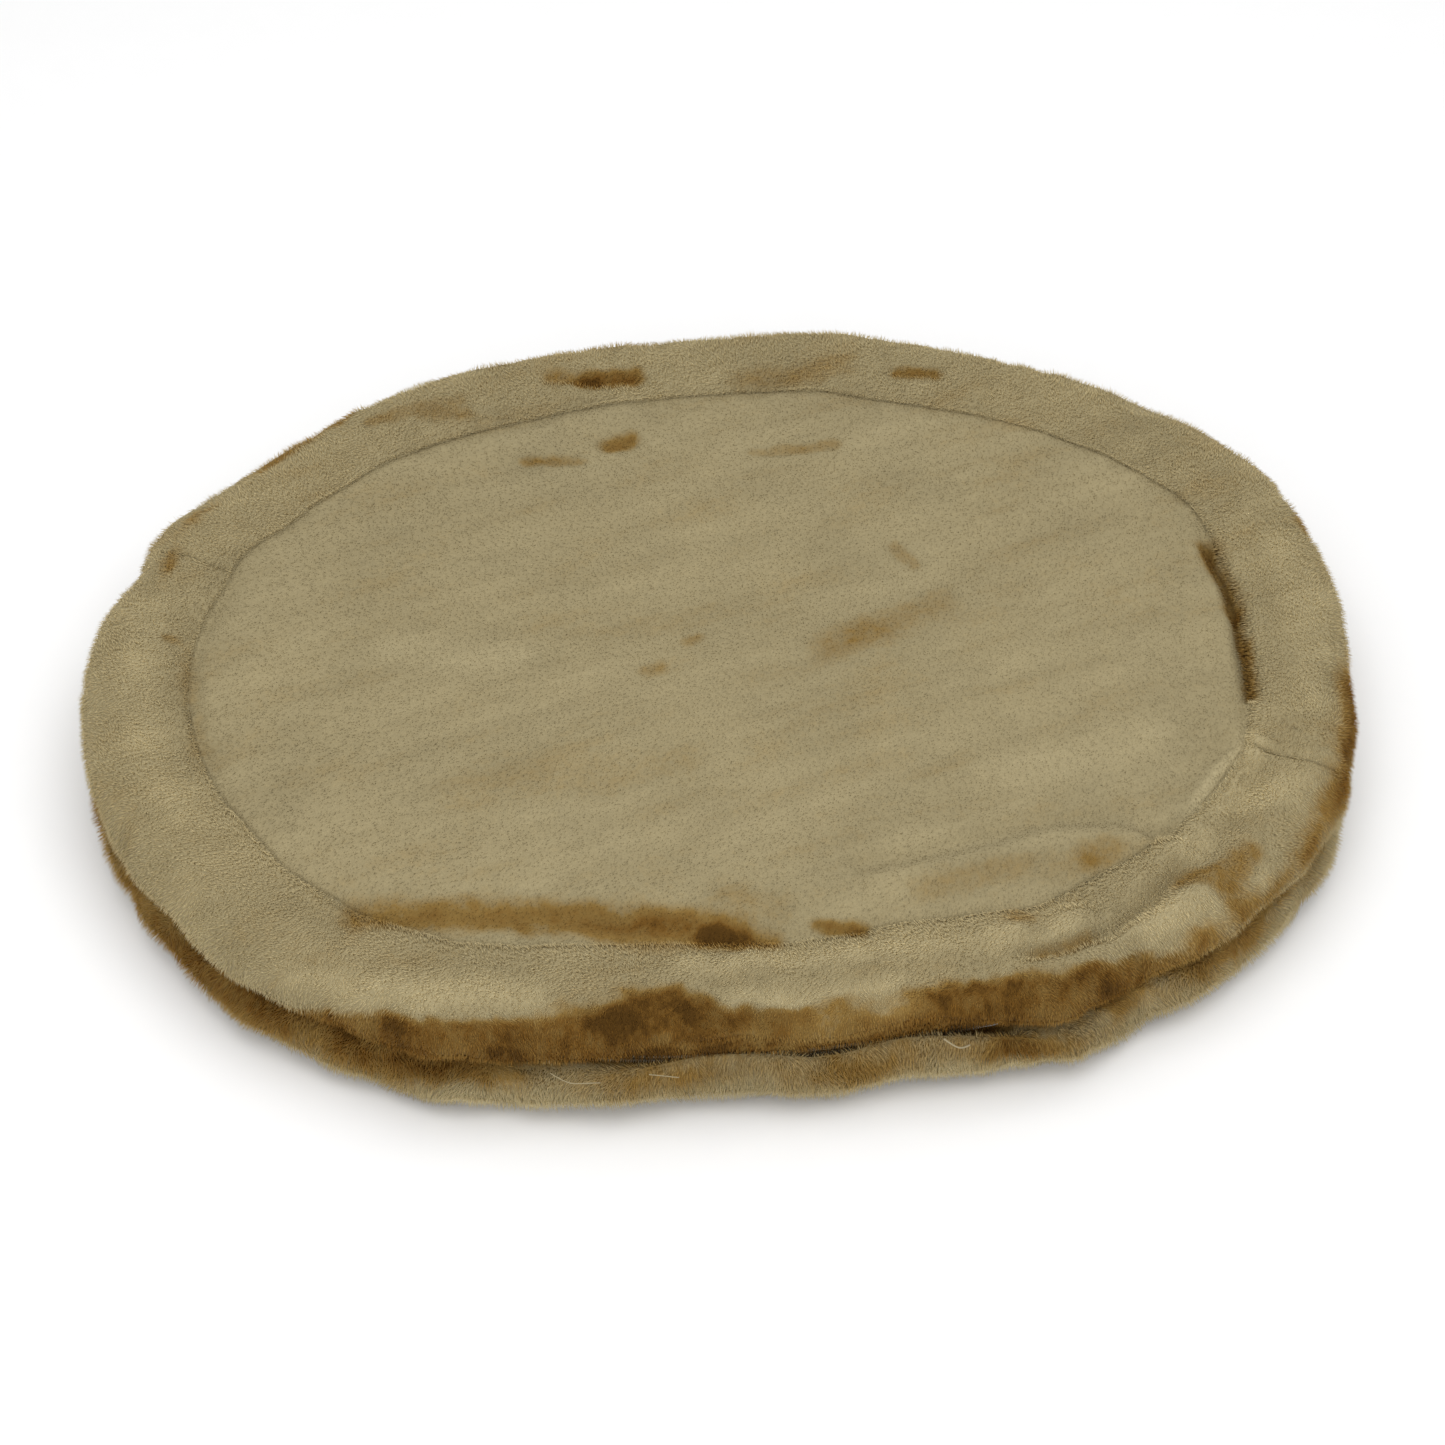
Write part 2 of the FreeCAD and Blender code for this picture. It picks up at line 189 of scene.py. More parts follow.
camera = bpy.data.objects.new("camera", bpy.data.cameras.new("camera"))
camera.data.lens = LENS
camera.data.shift_x, camera.data.shift_y = SHIFT
stand(camera, AZIMUTH, ELEVATION, DISTANCE)
bpy.context.scene.camera = camera
print("camera stands", [round(v, 2) for v in camera.location], "m from the origin")


# %% Lamps and sky
def lamp(name, azimuth, elevation, distance, size, power, colour=(1.0, 1.0, 1.0)):
    """A square softbox, aimed at the bed."""
    data = bpy.data.lights.new(name, "AREA")
    data.size, data.energy, data.color = size, power, colour
    stand(bpy.data.objects.new(name, data), math.radians(azimuth), math.radians(elevation), distance)


lamp("overhead_softbox", 12, 78, 1.9, 1.6, 18.0)
lamp("front_softbox", -20, 30, 2.4, 1.2, 6.0)
world = bpy.data.worlds.new("pale_studio")
world.use_nodes = True
world.node_tree.nodes["Background"].inputs["Color"].default_value = (1.0, 1.0, 1.0, 1.0)
world.node_tree.nodes["Background"].inputs["Strength"].default_value = 0.74
bpy.context.scene.world = world
bpy.context.scene.view_settings.view_transform = "Standard"

# %% [markdown]
# ## A way to write materials
# A material is a small web of nodes. Two helpers keep it readable. A Wire stands for one output socket,
# so a sum or a product of wires adds the Math node that does it. A Recipe adds any other node: it sets
# the node's own settings first, then the values or wires of its sockets.

# %% Wires and recipes
class Wire:
    """One output socket, on which ordinary arithmetic adds Math nodes."""

    def __init__(self, recipe, socket):
        self.recipe, self.socket = recipe, socket

    def sum_of(self, operation, first, second, clamp=False):
        settings = {"operation": operation, "use_clamp": clamp}
        return self.recipe.add("Math", settings, {0: first, 1: second})

    def __add__(self, other):
        return self.sum_of("ADD", self, other)

    def __sub__(self, other):
        return self.sum_of("SUBTRACT", self, other)

    def __rsub__(self, other):
        return self.sum_of("SUBTRACT", other, self)

    def __mul__(self, other):
        return self.sum_of("MULTIPLY", self, other)

    __radd__ = __add__
    __rmul__ = __mul__

    def held(self):
        """The same value, kept between 0 and 1."""
        return self.sum_of("ADD", self, 0.0, clamp=True)


class Recipe:
    """A material and the nodes in it."""

    def __init__(self, name):
        self.material = bpy.data.materials.new(name)
        self.material.use_nodes = True
        self.tree = self.material.node_tree
        self.tree.nodes.clear()

    def add(self, kind, settings=None, sockets=None, output=0):
        """A node of a kind: settings go in first, then the values or wires of its sockets."""
        node = self.tree.nodes.new("ShaderNode" + kind)
        for name, value in (settings or {}).items():
            if name == "stops":
                set_stops(node.color_ramp, value)
            else:
                setattr(node, name, value)
        for name, value in (sockets or {}).items():
            if isinstance(value, Wire):
                self.tree.links.new(value.socket, node.inputs[name])
            else:
                node.inputs[name].default_value = value
        return Wire(self, node.outputs[output]) if node.outputs else None

    def noise(self, place, scale, detail=2.0, roughness=0.5):
        sockets = {"Vector": place, "Scale": scale, "Detail": detail, "Roughness": roughness}
        return self.add("TexNoise", {}, sockets)

    def mix(self, share, first, second):
        """A colour between two colours."""
        return self.add("Mix", {"data_type": "RGBA"}, {0: share, 6: first, 7: second}, output=2)

    def finish(self, colour, roughness, bump=None, depth=0.0005, **constants):
        """Ends the recipe in one surface. The constants are set on the shader's own sockets."""
        sockets = {"Base Color": colour, "Roughness": roughness}
        sockets.update({name.replace("_", " "): value for name, value in constants.items()})
        if bump is not None:
            sockets["Normal"] = self.add("Bump", {}, {"Height": bump, "Distance": depth, "Strength": 1.0})
        shader = self.add("BsdfPrincipled", {}, sockets)
        self.add("OutputMaterial", {}, {"Surface": shader})
        return self.material


def set_stops(ramp, stops):
    """Gives a colour ramp its stops: a list of places and colours."""
    while len(ramp.elements) < len(stops):
        ramp.elements.new(0.5)
    for element, (place, colour) in zip(ramp.elements, stops):
        element.position, element.color = place, colour


def paint(red, green, blue):
    return (red, green, blue, 1.0)


# %% The floor
def lay_floor():
    bm = bmesh.new()
    bmesh.ops.create_grid(bm, x_segments=1, y_segments=1, size=6.0)
    bmesh.ops.translate(bm, verts=bm.verts, vec=(0, 0, cad_low.z - 0.2 * MM))
    mesh = bpy.data.meshes.new("floor")
    bm.to_mesh(mesh)
    bm.free()
    floor = bpy.data.objects.new("floor", mesh)
    bpy.context.scene.collection.objects.link(floor)
    recipe = Recipe("floor_paper")
    grain = recipe.noise(recipe.add("TexCoord", output=3), 40.0)
    shade = recipe.mix(grain, paint(0.955, 0.955, 0.955), paint(0.975, 0.975, 0.975))
    mesh.materials.append(recipe.finish(shade, 0.9))
    return floor


lay_floor()
print("floor laid at", round(cad_low.z / MM, 1), "mm")

# %% [markdown]
# ## The shape of the cover
# Seen in section, the cover runs up out of the sewn groove, over the crest of the rim, round an upper
# bulge, into the crease where the zip lies, round a lower bulge, and in under the bed. Inside the groove
# lies the flat pad. The cover is drawn as one oval row of stations, and pulled out row by row along that
# section. A closed row never twists, and each row can be named, held or sewn later.
#
# The backing of the plush lies a little inside the CAD surface, so that the pile fills the difference.

# %% Profile of the rim
BACKING_DEPTH = 3.8 * MM
CREST = cad_high.z - cad_low.z
UPPER_CENTRE, UPPER_RADIUS = (26 * MM, CREST - 26 * MM), 26 * MM
LOWER_CENTRE, LOWER_RADIUS = (24 * MM, 24 * MM), 24 * MM
CREST_RADIUS = 49.83 * MM
CREST_CENTRE = (UPPER_CENTRE[0], CREST - CREST_RADIUS)
CREASE_HEIGHT = (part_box("zip_slider")[0].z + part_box("zip_slider")[1].z) / 2
GROOVE = (60 * MM, 73.9 * MM)
CREASE_INSET = 15.5 * MM
BASE_SEAM = (23 * MM, 2.5 * MM)
PAD_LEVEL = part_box("top_panel")[1].z - BACKING_DEPTH
ROW_STEP = 3.6 * MM


def arc_rows(centre, radius, first, last):
    """Insets and heights along an arc, from one angle above the level, seen from outside, to another."""
    steps = max(2, round(abs(math.radians(last - first)) * radius / ROW_STEP))
    turns = [math.radians(first + (last - first) * k / steps) for k in range(steps + 1)]
    return [(centre[0] - radius * math.cos(t), centre[1] + radius * math.sin(t)) for t in turns]


RIM_ROWS = arc_rows(CREST_CENTRE, CREST_RADIUS - BACKING_DEPTH, 123, 90)
RIM_ROWS += arc_rows(UPPER_CENTRE, UPPER_RADIUS - BACKING_DEPTH, 90, -46)[1:]
LOWER_ROWS = arc_rows(LOWER_CENTRE, LOWER_RADIUS - BACKING_DEPTH, 58, -78)
PAD_DIPS = [(3, 1.1), (7, 0.8), (11, 0.5), (15.5, 0.2), (20, 0.0)]
PAD_ROWS = [(GROOVE[0] + reach * MM, PAD_LEVEL - dip * MM) for reach, dip in PAD_DIPS]
print("rows:", len(RIM_ROWS), "on the rim,", len(LOWER_ROWS), "below the crease,", len(PAD_ROWS), "on the pad")

# %% Stations round the oval
STATIONS = 384
HALF = STATIONS // 2
JOIN_ANGLE = math.radians(-25)
FIRST_SHARE = (JOIN_ANGLE - ARCS[0][3]) * CORNER_RADIUS / PERIMETER
zip_low, zip_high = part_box("zip_coil_upper")
FRONT_MIDDLE = 1 - ARC_LENGTHS[-1] / 2 / PERIMETER
ZIP_START = FRONT_MIDDLE + zip_low.x / PERIMETER - 0.004
ZIP_END = FRONT_MIDDLE + zip_high.x / PERIMETER + 0.009
MOUTH = 5.5 * MM
MOUTH_RAMP = 0.008


def mouth(share):
    """Half the height that the zip holds the crease open, at a share of the way round."""
    inside = min(share - ZIP_START, ZIP_END - share)
    return 0.4 * MM + MOUTH * smooth(inside / MOUTH_RAMP)


def smooth(value):
    """Eases from 0 to 1 as the value does."""
    value = np.clip(value, 0, 1)
    return value * value * (3 - 2 * value)


def station_share(station):
    return (FIRST_SHARE + station / STATIONS) % 1.0


# %% Pull the cover out row by row
TOP, RIM_FRONT, RIM_REAR, LOWER_FRONT, LOWER_REAR = range(5)


class Cover:
    """The whole cover as one mesh, while it is still drawn row by row."""

    def __init__(self):
        self.bm = bmesh.new()
        self.station = self.bm.verts.layers.int.new("station")
        self.down = self.bm.verts.layers.float.new("down")
        self.held = self.bm.verts.layers.float.new("held")

    def first_row(self, inset, height, down, held):
        made = bmesh.ops.create_circle(self.bm, segments=STATIONS, radius=1.0)["verts"]
        for number, vert in enumerate(made):
            vert[self.station] = number
        edges = list({edge for vert in made for edge in vert.link_edges})
        self.place(made, inset, height, down, held)
        return edges

    def place(self, verts, inset, height, down, held):
        for vert in verts:
            share = station_share(vert[self.station])
            level = height(share) if callable(height) else height
            vert.co = on_oval(share, inset, level)
            vert[self.down] = down
            vert[self.held] = held

    def next_row(self, edges, inset, height, down, panel, held=0.0):
        made = bmesh.ops.extrude_edge_only(self.bm, edges=edges)["geom"]
        verts = {g for g in made if isinstance(g, bmesh.types.BMVert)}
        self.place(verts, inset, height, down, held)
        for face in made:
            if isinstance(face, bmesh.types.BMFace):
                face.material_index = self.panel_of(face, panel)
        return [g for g in made if isinstance(g, bmesh.types.BMEdge) and set(g.verts) <= verts]

    def panel_of(self, face, panel):
        if panel == TOP:
            return TOP
        numbers = sorted(vert[self.station] for vert in face.verts)
        front = numbers[-1] > HALF or numbers[0] >= HALF
        return panel if front else panel + 1


def draw_cover():
    cover = Cover()
    groove = cover.first_row(GROOVE[0], GROOVE[1], 0.0, 1.0)
    edges, last, down = groove, GROOVE, 0.0
    for row in RIM_ROWS:
        down += math.dist(row, last)
        edges, last = cover.next_row(edges, row[0], row[1], down, RIM_FRONT), row
    down += math.dist(last, (CREASE_INSET, CREASE_HEIGHT))
    upper_lip = cover.next_row(edges, CREASE_INSET, lambda s: CREASE_HEIGHT + mouth(s), down, RIM_FRONT, 1.0)
    crease_down = down
    edges = cover.first_row(CREASE_INSET, lambda s: CREASE_HEIGHT - mouth(s), down, 1.0)
    last = (CREASE_INSET, CREASE_HEIGHT)
    for row in LOWER_ROWS + [BASE_SEAM]:
        down += math.dist(row, last)
        held = 1.0 if row == BASE_SEAM else 0.0
        edges, last = cover.next_row(edges, row[0], row[1], down, LOWER_FRONT, held), row
    edges, last, across = groove, GROOVE, 0.0
    for row in PAD_ROWS:
        across -= math.dist(row, last)
        edges, last = cover.next_row(edges, row[0], row[1], across, TOP), row
    fill_pad(cover, edges)
    return cover, crease_down, down


def fill_pad(cover, edges):
    """Fills the oval inside the last pad row with a grid, from its front run to its back run."""
    front = (STATIONS * 253 // 384, STATIONS * 368 // 384)
    back = ((front[0] - HALF) % STATIONS, (front[1] - HALF) % STATIONS)
    chosen = []
    for edge in edges:
        numbers = sorted(vert[cover.station] for vert in edge.verts)
        if any(first <= numbers[0] and numbers[1] <= last for first, last in (front, back)):
            chosen.append(edge)
    before = set(cover.bm.verts)
    faces = bmesh.ops.grid_fill(cover.bm, edges=chosen, mat_nr=TOP)["faces"]
    inner = [vert for vert in cover.bm.verts if vert not in before]
    edge_down = -math.dist(PAD_ROWS[-1], GROOVE)
    for vert in inner:
        vert[cover.down] = edge_down - 10 * MM
    print("pad filled with", len(faces), "faces")


def middle_of(thing):
    """The middle of a point, an edge or a face, in whole micrometres."""
    corners = [vert.co for vert in thing.verts] if hasattr(thing, "verts") else [thing.co]
    return tuple(round(sum(corner[axis] for corner in corners) / len(corners) * 1e6) for axis in range(3))


def put_in_order(bm):
    """Grid fill may list what it makes in another order on each run, so the pad's middle is sorted."""
    bm.verts.ensure_lookup_table()
    for face in [face for face in bm.faces if face.material_index == TOP]:
        corners = list(face.verts)
        first = corners.index(min(corners, key=middle_of))
        bm.faces.remove(face)
        bm.faces.new(corners[first:] + corners[:first]).material_index = TOP
    for things in (bm.verts, bm.edges, bm.faces):
        things.index_update()
        number = {thing: middle_of(thing) + (thing.index,) for thing in things}
        for rank, thing in enumerate(sorted(things, key=number.get)):
            thing.index = rank
        things.sort()


cover, CREASE_DOWN, BASE_DOWN = draw_cover()
bmesh.ops.recalc_face_normals(cover.bm, faces=cover.bm.faces)
put_in_order(cover.bm)
print("cover drawn:", len(cover.bm.verts), "points; crease at", round(CREASE_DOWN / MM), "mm down the cloth")

# %% [markdown]
# ## Stuffing
# A stuffed cover is blown up from inside and held at its seams, and the spare cloth beside a seam
# gathers in small puckers. Cloth simulation finds those puckers by itself: the groove, the crease and
# the base seam are held, a light pressure fills the cover, and the cloth is given a few hundredths more
# length than the drawing. How far a point may move is limited softly, so the result stays in the space
# of the CAD solids.

# %% Cloth simulation
PRESSURE = 4.0
SPARE_CLOTH = -0.05
LAST_FRAME = 20
RIM_SWELL = 4.5 * MM
PAD_SWELL = 1.5 * MM


def new_piece(name, mesh):
    piece = bpy.data.objects.new(name, mesh)
    bpy.context.scene.collection.objects.link(piece)
    return piece


def finished_mesh(piece, name):
    """The mesh of a piece with its modifiers applied."""
    graph = bpy.context.evaluated_depsgraph_get()
    return bpy.data.meshes.new_from_object(piece.evaluated_get(graph), depsgraph=graph)


def positions(mesh):
    flat = np.empty(len(mesh.vertices) * 3)
    mesh.vertices.foreach_get("co", flat)
    return flat.reshape(-1, 3)


def put_positions(mesh, points):
    mesh.vertices.foreach_set("co", points.ravel())
    mesh.update()


def per_point(mesh, name):
    values = np.empty(len(mesh.vertices))
    mesh.attributes[name].data.foreach_get("value", values)
    return values


def put_per_point(mesh, name, values):
    layer = mesh.attributes.get(name) or mesh.attributes.new(name, "FLOAT", "POINT")
    layer.data.foreach_set("value", np.ascontiguousarray(values, dtype=np.float32))


def stuff(piece):
    """Swells the cover by cloth simulation and returns its new points."""
    start = positions(piece.data)
    held = piece.vertex_groups.new(name="held")
    held.add([int(i) for i in np.nonzero(per_point(piece.data, "held") > 0.5)[0]], 1.0, "REPLACE")
    cloth = piece.modifiers.new("cloth", "CLOTH")
    cloth.settings.use_pressure = True
    cloth.settings.uniform_pressure_force = PRESSURE
    cloth.settings.shrink_min = SPARE_CLOTH
    cloth.settings.vertex_group_mass = "held"
    cloth.settings.effector_weights.gravity = 0.0
    cloth.collision_settings.use_collision = False
    scene = bpy.context.scene
    for frame_number in range(1, LAST_FRAME + 1):
        scene.frame_set(frame_number)
    swollen = finished_mesh(piece, "swollen")
    moved = positions(swollen) - start
    piece.modifiers.clear()
    bpy.data.meshes.remove(swollen)
    scene.frame_set(1)
    limit = np.where(per_point(piece.data, "down") < -5 * MM, PAD_SWELL, RIM_SWELL)[:, None]
    reach = np.maximum(np.linalg.norm(moved, axis=1, keepdims=True), 1e-9)
    put_positions(piece.data, start + moved * (limit * np.tanh(reach / limit) / reach))
    print("cloth moved up to", round(reach.max() / MM, 1), "mm, kept under", round(limit.max() / MM, 1), "mm")


cover_mesh = bpy.data.meshes.new("cover")
cover.bm.to_mesh(cover_mesh)
cover.bm.free()
cover_piece = new_piece("cover", cover_mesh)
stuff(cover_piece)

# %% Finer cloth
smoother = cover_piece.modifiers.new("finer", "SUBSURF")
smoother.levels = smoother.render_levels = 1
fine_mesh = finished_mesh(cover_piece, "fine_cover")
bpy.data.objects.remove(cover_piece)
print("finer cloth has", len(fine_mesh.vertices), "points")

# %% [markdown]
# ## Uneven stuffing
# The drawn oval is even, but the stuffed bed isn't: loose filling has pushed some stretches out and left
# others slack. Each push below is a place round the oval, a distance and a spread. It fades towards the
# pad, so the groove follows the rim only a little.

# %% Pushes round the outline
PUSHES = [
    (0.085, 2.5, 0.014), (0.132, -5.5, 0.020), (0.207, 7.5, 0.020), (0.272, -3.0, 0.024),
    (0.362, 9.0, 0.026), (0.415, 4.0, 0.030), (0.533, -13.0, 0.034), (0.558, -4.0, 0.012),
    (0.597, -4.0, 0.012), (0.645, 3.0, 0.028), (0.722, -4.0, 0.016), (0.812, 8.0, 0.019), (0.885, -9.5, 0.032),
    (0.932, -6.0, 0.016), (0.979, 8.5, 0.014),
]
OVERSTUFFED = 2.2 * MM
PUSH_FADE = (30 * MM, 125 * MM)


def bell(value, width):
    return np.exp(-(value / width) ** 2)


def round_trip(share, middle):
    """How far a share is from another, the short way round."""
    return (share - middle + 0.5) % 1.0 - 0.5


def zip_hold(share):
    """1 where the zip holds the crease in its place, 0 elsewhere."""
    inside = np.minimum(share - ZIP_START, ZIP_END - share)
    return smooth(inside / MOUTH_RAMP + 1)


def uneven_outline(points):
    share, inset, outwards = read_oval(points)
    push = OVERSTUFFED
    for place, amount, spread in PUSHES:
        push = push + amount * MM * bell(round_trip(share, place), spread)
    fade = 1 - smooth((inset - PUSH_FADE[0]) / (PUSH_FADE[1] - PUSH_FADE[0]))
    fade = fade * (1 - zip_hold(share) * bell(points[:, 2] - CREASE_HEIGHT, 8 * MM) * smooth(inset / (12 * MM)))
    points[:, :2] += outwards * (push * fade)[:, None]
    return points


# %% [markdown]
# ## Folds and hollows
# Folds are drawn as lines on the plan, in millimetres from the middle of the bed. Each one lifts or
# sinks the cloth beside it. The front right corner has the strongest set: there the side strips end
# and the cover is pinched, so the pad's edge stands up in a ridge and a deep tuck runs in from the rim.

# %% Folds on top
FOLDS = [
    ("pad_valley", [(58, -160), (110, -152), (160, -139), (196, -139), (224, -154)], -3.4, 7),
    ("pad_ridge", [(66, -174), (118, -165), (165, -153), (204, -156), (224, -166)], 4.2, 9),
    ("corner_tuck", [(138, -229), (160, -228), (182, -220), (206, -198), (224, -180)], -7.5, 6),
    ("corner_tuck_lip", [(120, -210), (150, -213), (180, -204), (203, -186)], 2.6, 9),
    ("corner_flap", [(196, -222), (222, -204), (244, -184)], 3.2, 9),
    ("corner_fold", [(228, -160), (240, -136), (256, -112), (280, -92)], 4.2, 7),
    ("corner_fold_foot", [(214, -152), (228, -128), (244, -106), (266, -88)], -3.0, 7),
    ("corner_hollow", [(238, -172), (256, -146), (276, -118)], -2.6, 8),
    ("right_slit", [(283, 60), (288, 30), (289, 0), (288, -30), (286, -56)], -11.0, 4.5),
    ("right_slit_rim", [(298, 60), (303, 20), (303, -30), (298, -60)], 3.0, 12),
    ("front_hollow", [(-205, -168), (-132, -178), (-60, -190), (-20, -203), (55, -203)], -5.0, 13),
    ("front_crest", [(-84, -232), (-33, -226), (49, -224), (101, -230)], 2.6, 13),
    ("left_hollow", [(-296, 50), (-294, 0), (-288, -45)], -2.2, 16),
    ("back_fold", [(-110, 163), (-70, 160), (-36, 170)], -1.8, 8),
    ("back_dimple", [(-52, 178), (-42, 178)], -4.5, 8),
    ("back_crease", [(-84, 236), (-34, 232)], -4.0, 7),
    ("back_crease_right", [(120, 223), (146, 220)], -3.0, 6),
    ("back_line", [(40, 158), (76, 161)], -1.6, 4),
    ("long_wave", [(-190, -95), (-80, -70), (40, -62), (160, -40)], 1.6, 26),
    ("long_trough", [(-210, 30), (-90, 20), (30, 36), (150, 58)], -1.8, 30),
    ("back_wave", [(-170, 120), (-40, 118), (120, 108)], 1.8, 24),
    ("right_wave", [(214, 40), (226, -10), (212, -80)], 1.4, 22),
]


def distance_to_line(plan, line):
    """How far points on the plan are from a line of straight runs."""
    nearest = np.full(len(plan), np.inf)
    for start, end in zip(line, line[1:]):
        start, end = np.array(start) * MM, np.array(end) * MM
        run = end - start
        along = np.clip((plan - start) @ run / (run @ run), 0, 1)
        nearest = np.minimum(nearest, np.linalg.norm(plan - start - along[:, None] * run, axis=1))
    return nearest


def fold_top(points, down):
    on_top = 1 - smooth((down - 42 * MM) / (14 * MM))
    for name, line, lift, width in FOLDS:
        points[:, 2] += on_top * lift * MM * bell(distance_to_line(points[:, :2], line), width * MM)
    return points


# %% Room for the slider
ZIP_JOINT = next(joint for joint in frame["record"]["behaviour"]["joints"] if joint["name"] == "zip_slide")
ZIP_CENTRE = Vector(ZIP_JOINT["pos_m"])
ROOM_HEIGHT = 3.0 * MM
TAB_SHIFT = 0.004


def parking_places():
    """Where the slider stands with the zip closed and with it open, as shares of the way round."""
    closed = (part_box("zip_slider")[0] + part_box("zip_slider")[1]) / 2
    turn = Matrix.Rotation(math.radians(ZIP_JOINT["range_deg"][1]), 4, "Z")
    opened = turn @ (closed - ZIP_CENTRE) + ZIP_CENTRE
    return read_oval(np.array([closed, opened]))[0]


PARKED = parking_places()


def slider_room(share, down):
    """1 where the slider and its tab stand between the lips of the crease, fading to 0 round them."""
    beside = sum(bell(round_trip(share, place + TAB_SHIFT), 0.013) for place in PARKED)
    return np.minimum(beside, 1) * bell(down - CREASE_DOWN, 16 * MM)


print("the slider parks at shares", PARKED.round(3))

# %% Slumped side wall
SLUMPS = [(0.815, -3.5, 0.026), (0.888, 17.0, 0.026), (0.938, 18.0, 0.024), (0.020, 5.0, 0.030)]
JOIN_SINK = 2.2 * MM
SIDE_DENTS = [
    (0.838, 70, 0.012, 14, -3.0), (0.868, 74, 0.010, 12, -3.5), (0.905, 66, 0.012, 12, -3.0),
    (0.985, 62, 0.010, 22, -6.0), (0.003, 70, 0.009, 20, -4.0), (0.040, 66, 0.010, 18, -2.5),
    (0.780, 72, 0.014, 14, -3.0), (0.735, 68, 0.012, 14, -2.0), (0.905, 116, 0.016, 12, 2.0),
    (0.860, 112, 0.014, 12, 2.5), (0.965, 112, 0.012, 12, -2.5), (0.815, 112, 0.012, 12, -2.0),
]


def slump(points, down):
    """Lets the crease rise and fall on the outside of the wall, and dents the wall here and there."""
    share, inset, outwards = read_oval(points)
    from_crease = np.abs(down - CREASE_DOWN)
    outside = smooth((from_crease - 4 * MM) / (8 * MM)) * bell(from_crease, 26 * MM)
    shift = sum(amount * MM * bell(round_trip(share, place), spread) for place, amount, spread in SLUMPS)
    room = slider_room(share, down)
    points[:, 2] += shift * outside * (1 - room)
    points[:, 2] -= np.sign(down - CREASE_DOWN) * ROOM_HEIGHT * room
    from_join = round_trip(2 * share, 2 * FIRST_SHARE) * PERIMETER / 2
    sink = JOIN_SINK * bell(from_join, 4 * MM) * smooth(down / (8 * MM))
    wall = smooth((down - 30 * MM) / (35 * MM))
    points[:, :2] -= outwards * (sink * wall)[:, None]
    points[:, 2] -= sink * (1 - wall)
    dent = sum(
        amount * MM * bell(round_trip(share, place), spread) * bell(down - reach * MM, tall * MM)
        for place, reach, spread, tall, amount in SIDE_DENTS
    )
    held = 1 - zip_hold(share) * bell(from_crease, 14 * MM)
    points[:, :2] += outwards * (dent * smooth(down / (30 * MM)) * held * (1 - room))[:, None]
    return points


# %% Lumps in the filling
def lumps(points, down, mesh):
    """Small soft lumps, strongest on the side wall and faint on the pad."""
    normals = np.empty(len(points) * 3)
    mesh.vertices.foreach_get("normal", normals)
    normals = normals.reshape(-1, 3)
    wall = smooth((down + 6 * MM) / (40 * MM))
    calm = 1 - slider_room(read_oval(points)[0], down)
    for wave, pad_height, wall_height in ((34 * MM, 0.7 * MM, 1.3 * MM), (11 * MM, 0.22 * MM, 0.7 * MM),
                                          (5 * MM, 0.12 * MM, 0.35 * MM)):
        rough = np.array([noise.noise(Vector(p) / wave) for p in points])
        points += normals * (rough * (pad_height + (wall_height - pad_height) * wall) * calm)[:, None]
    return points


down = per_point(fine_mesh, "down")
shaped = uneven_outline(positions(fine_mesh))
shaped = fold_top(shaped, down)
shaped = slump(shaped, down)
put_positions(fine_mesh, shaped)
put_positions(fine_mesh, lumps(shaped, down, fine_mesh))
print("crest now at", round(shaped[:, 2].max() / MM, 1), "mm")
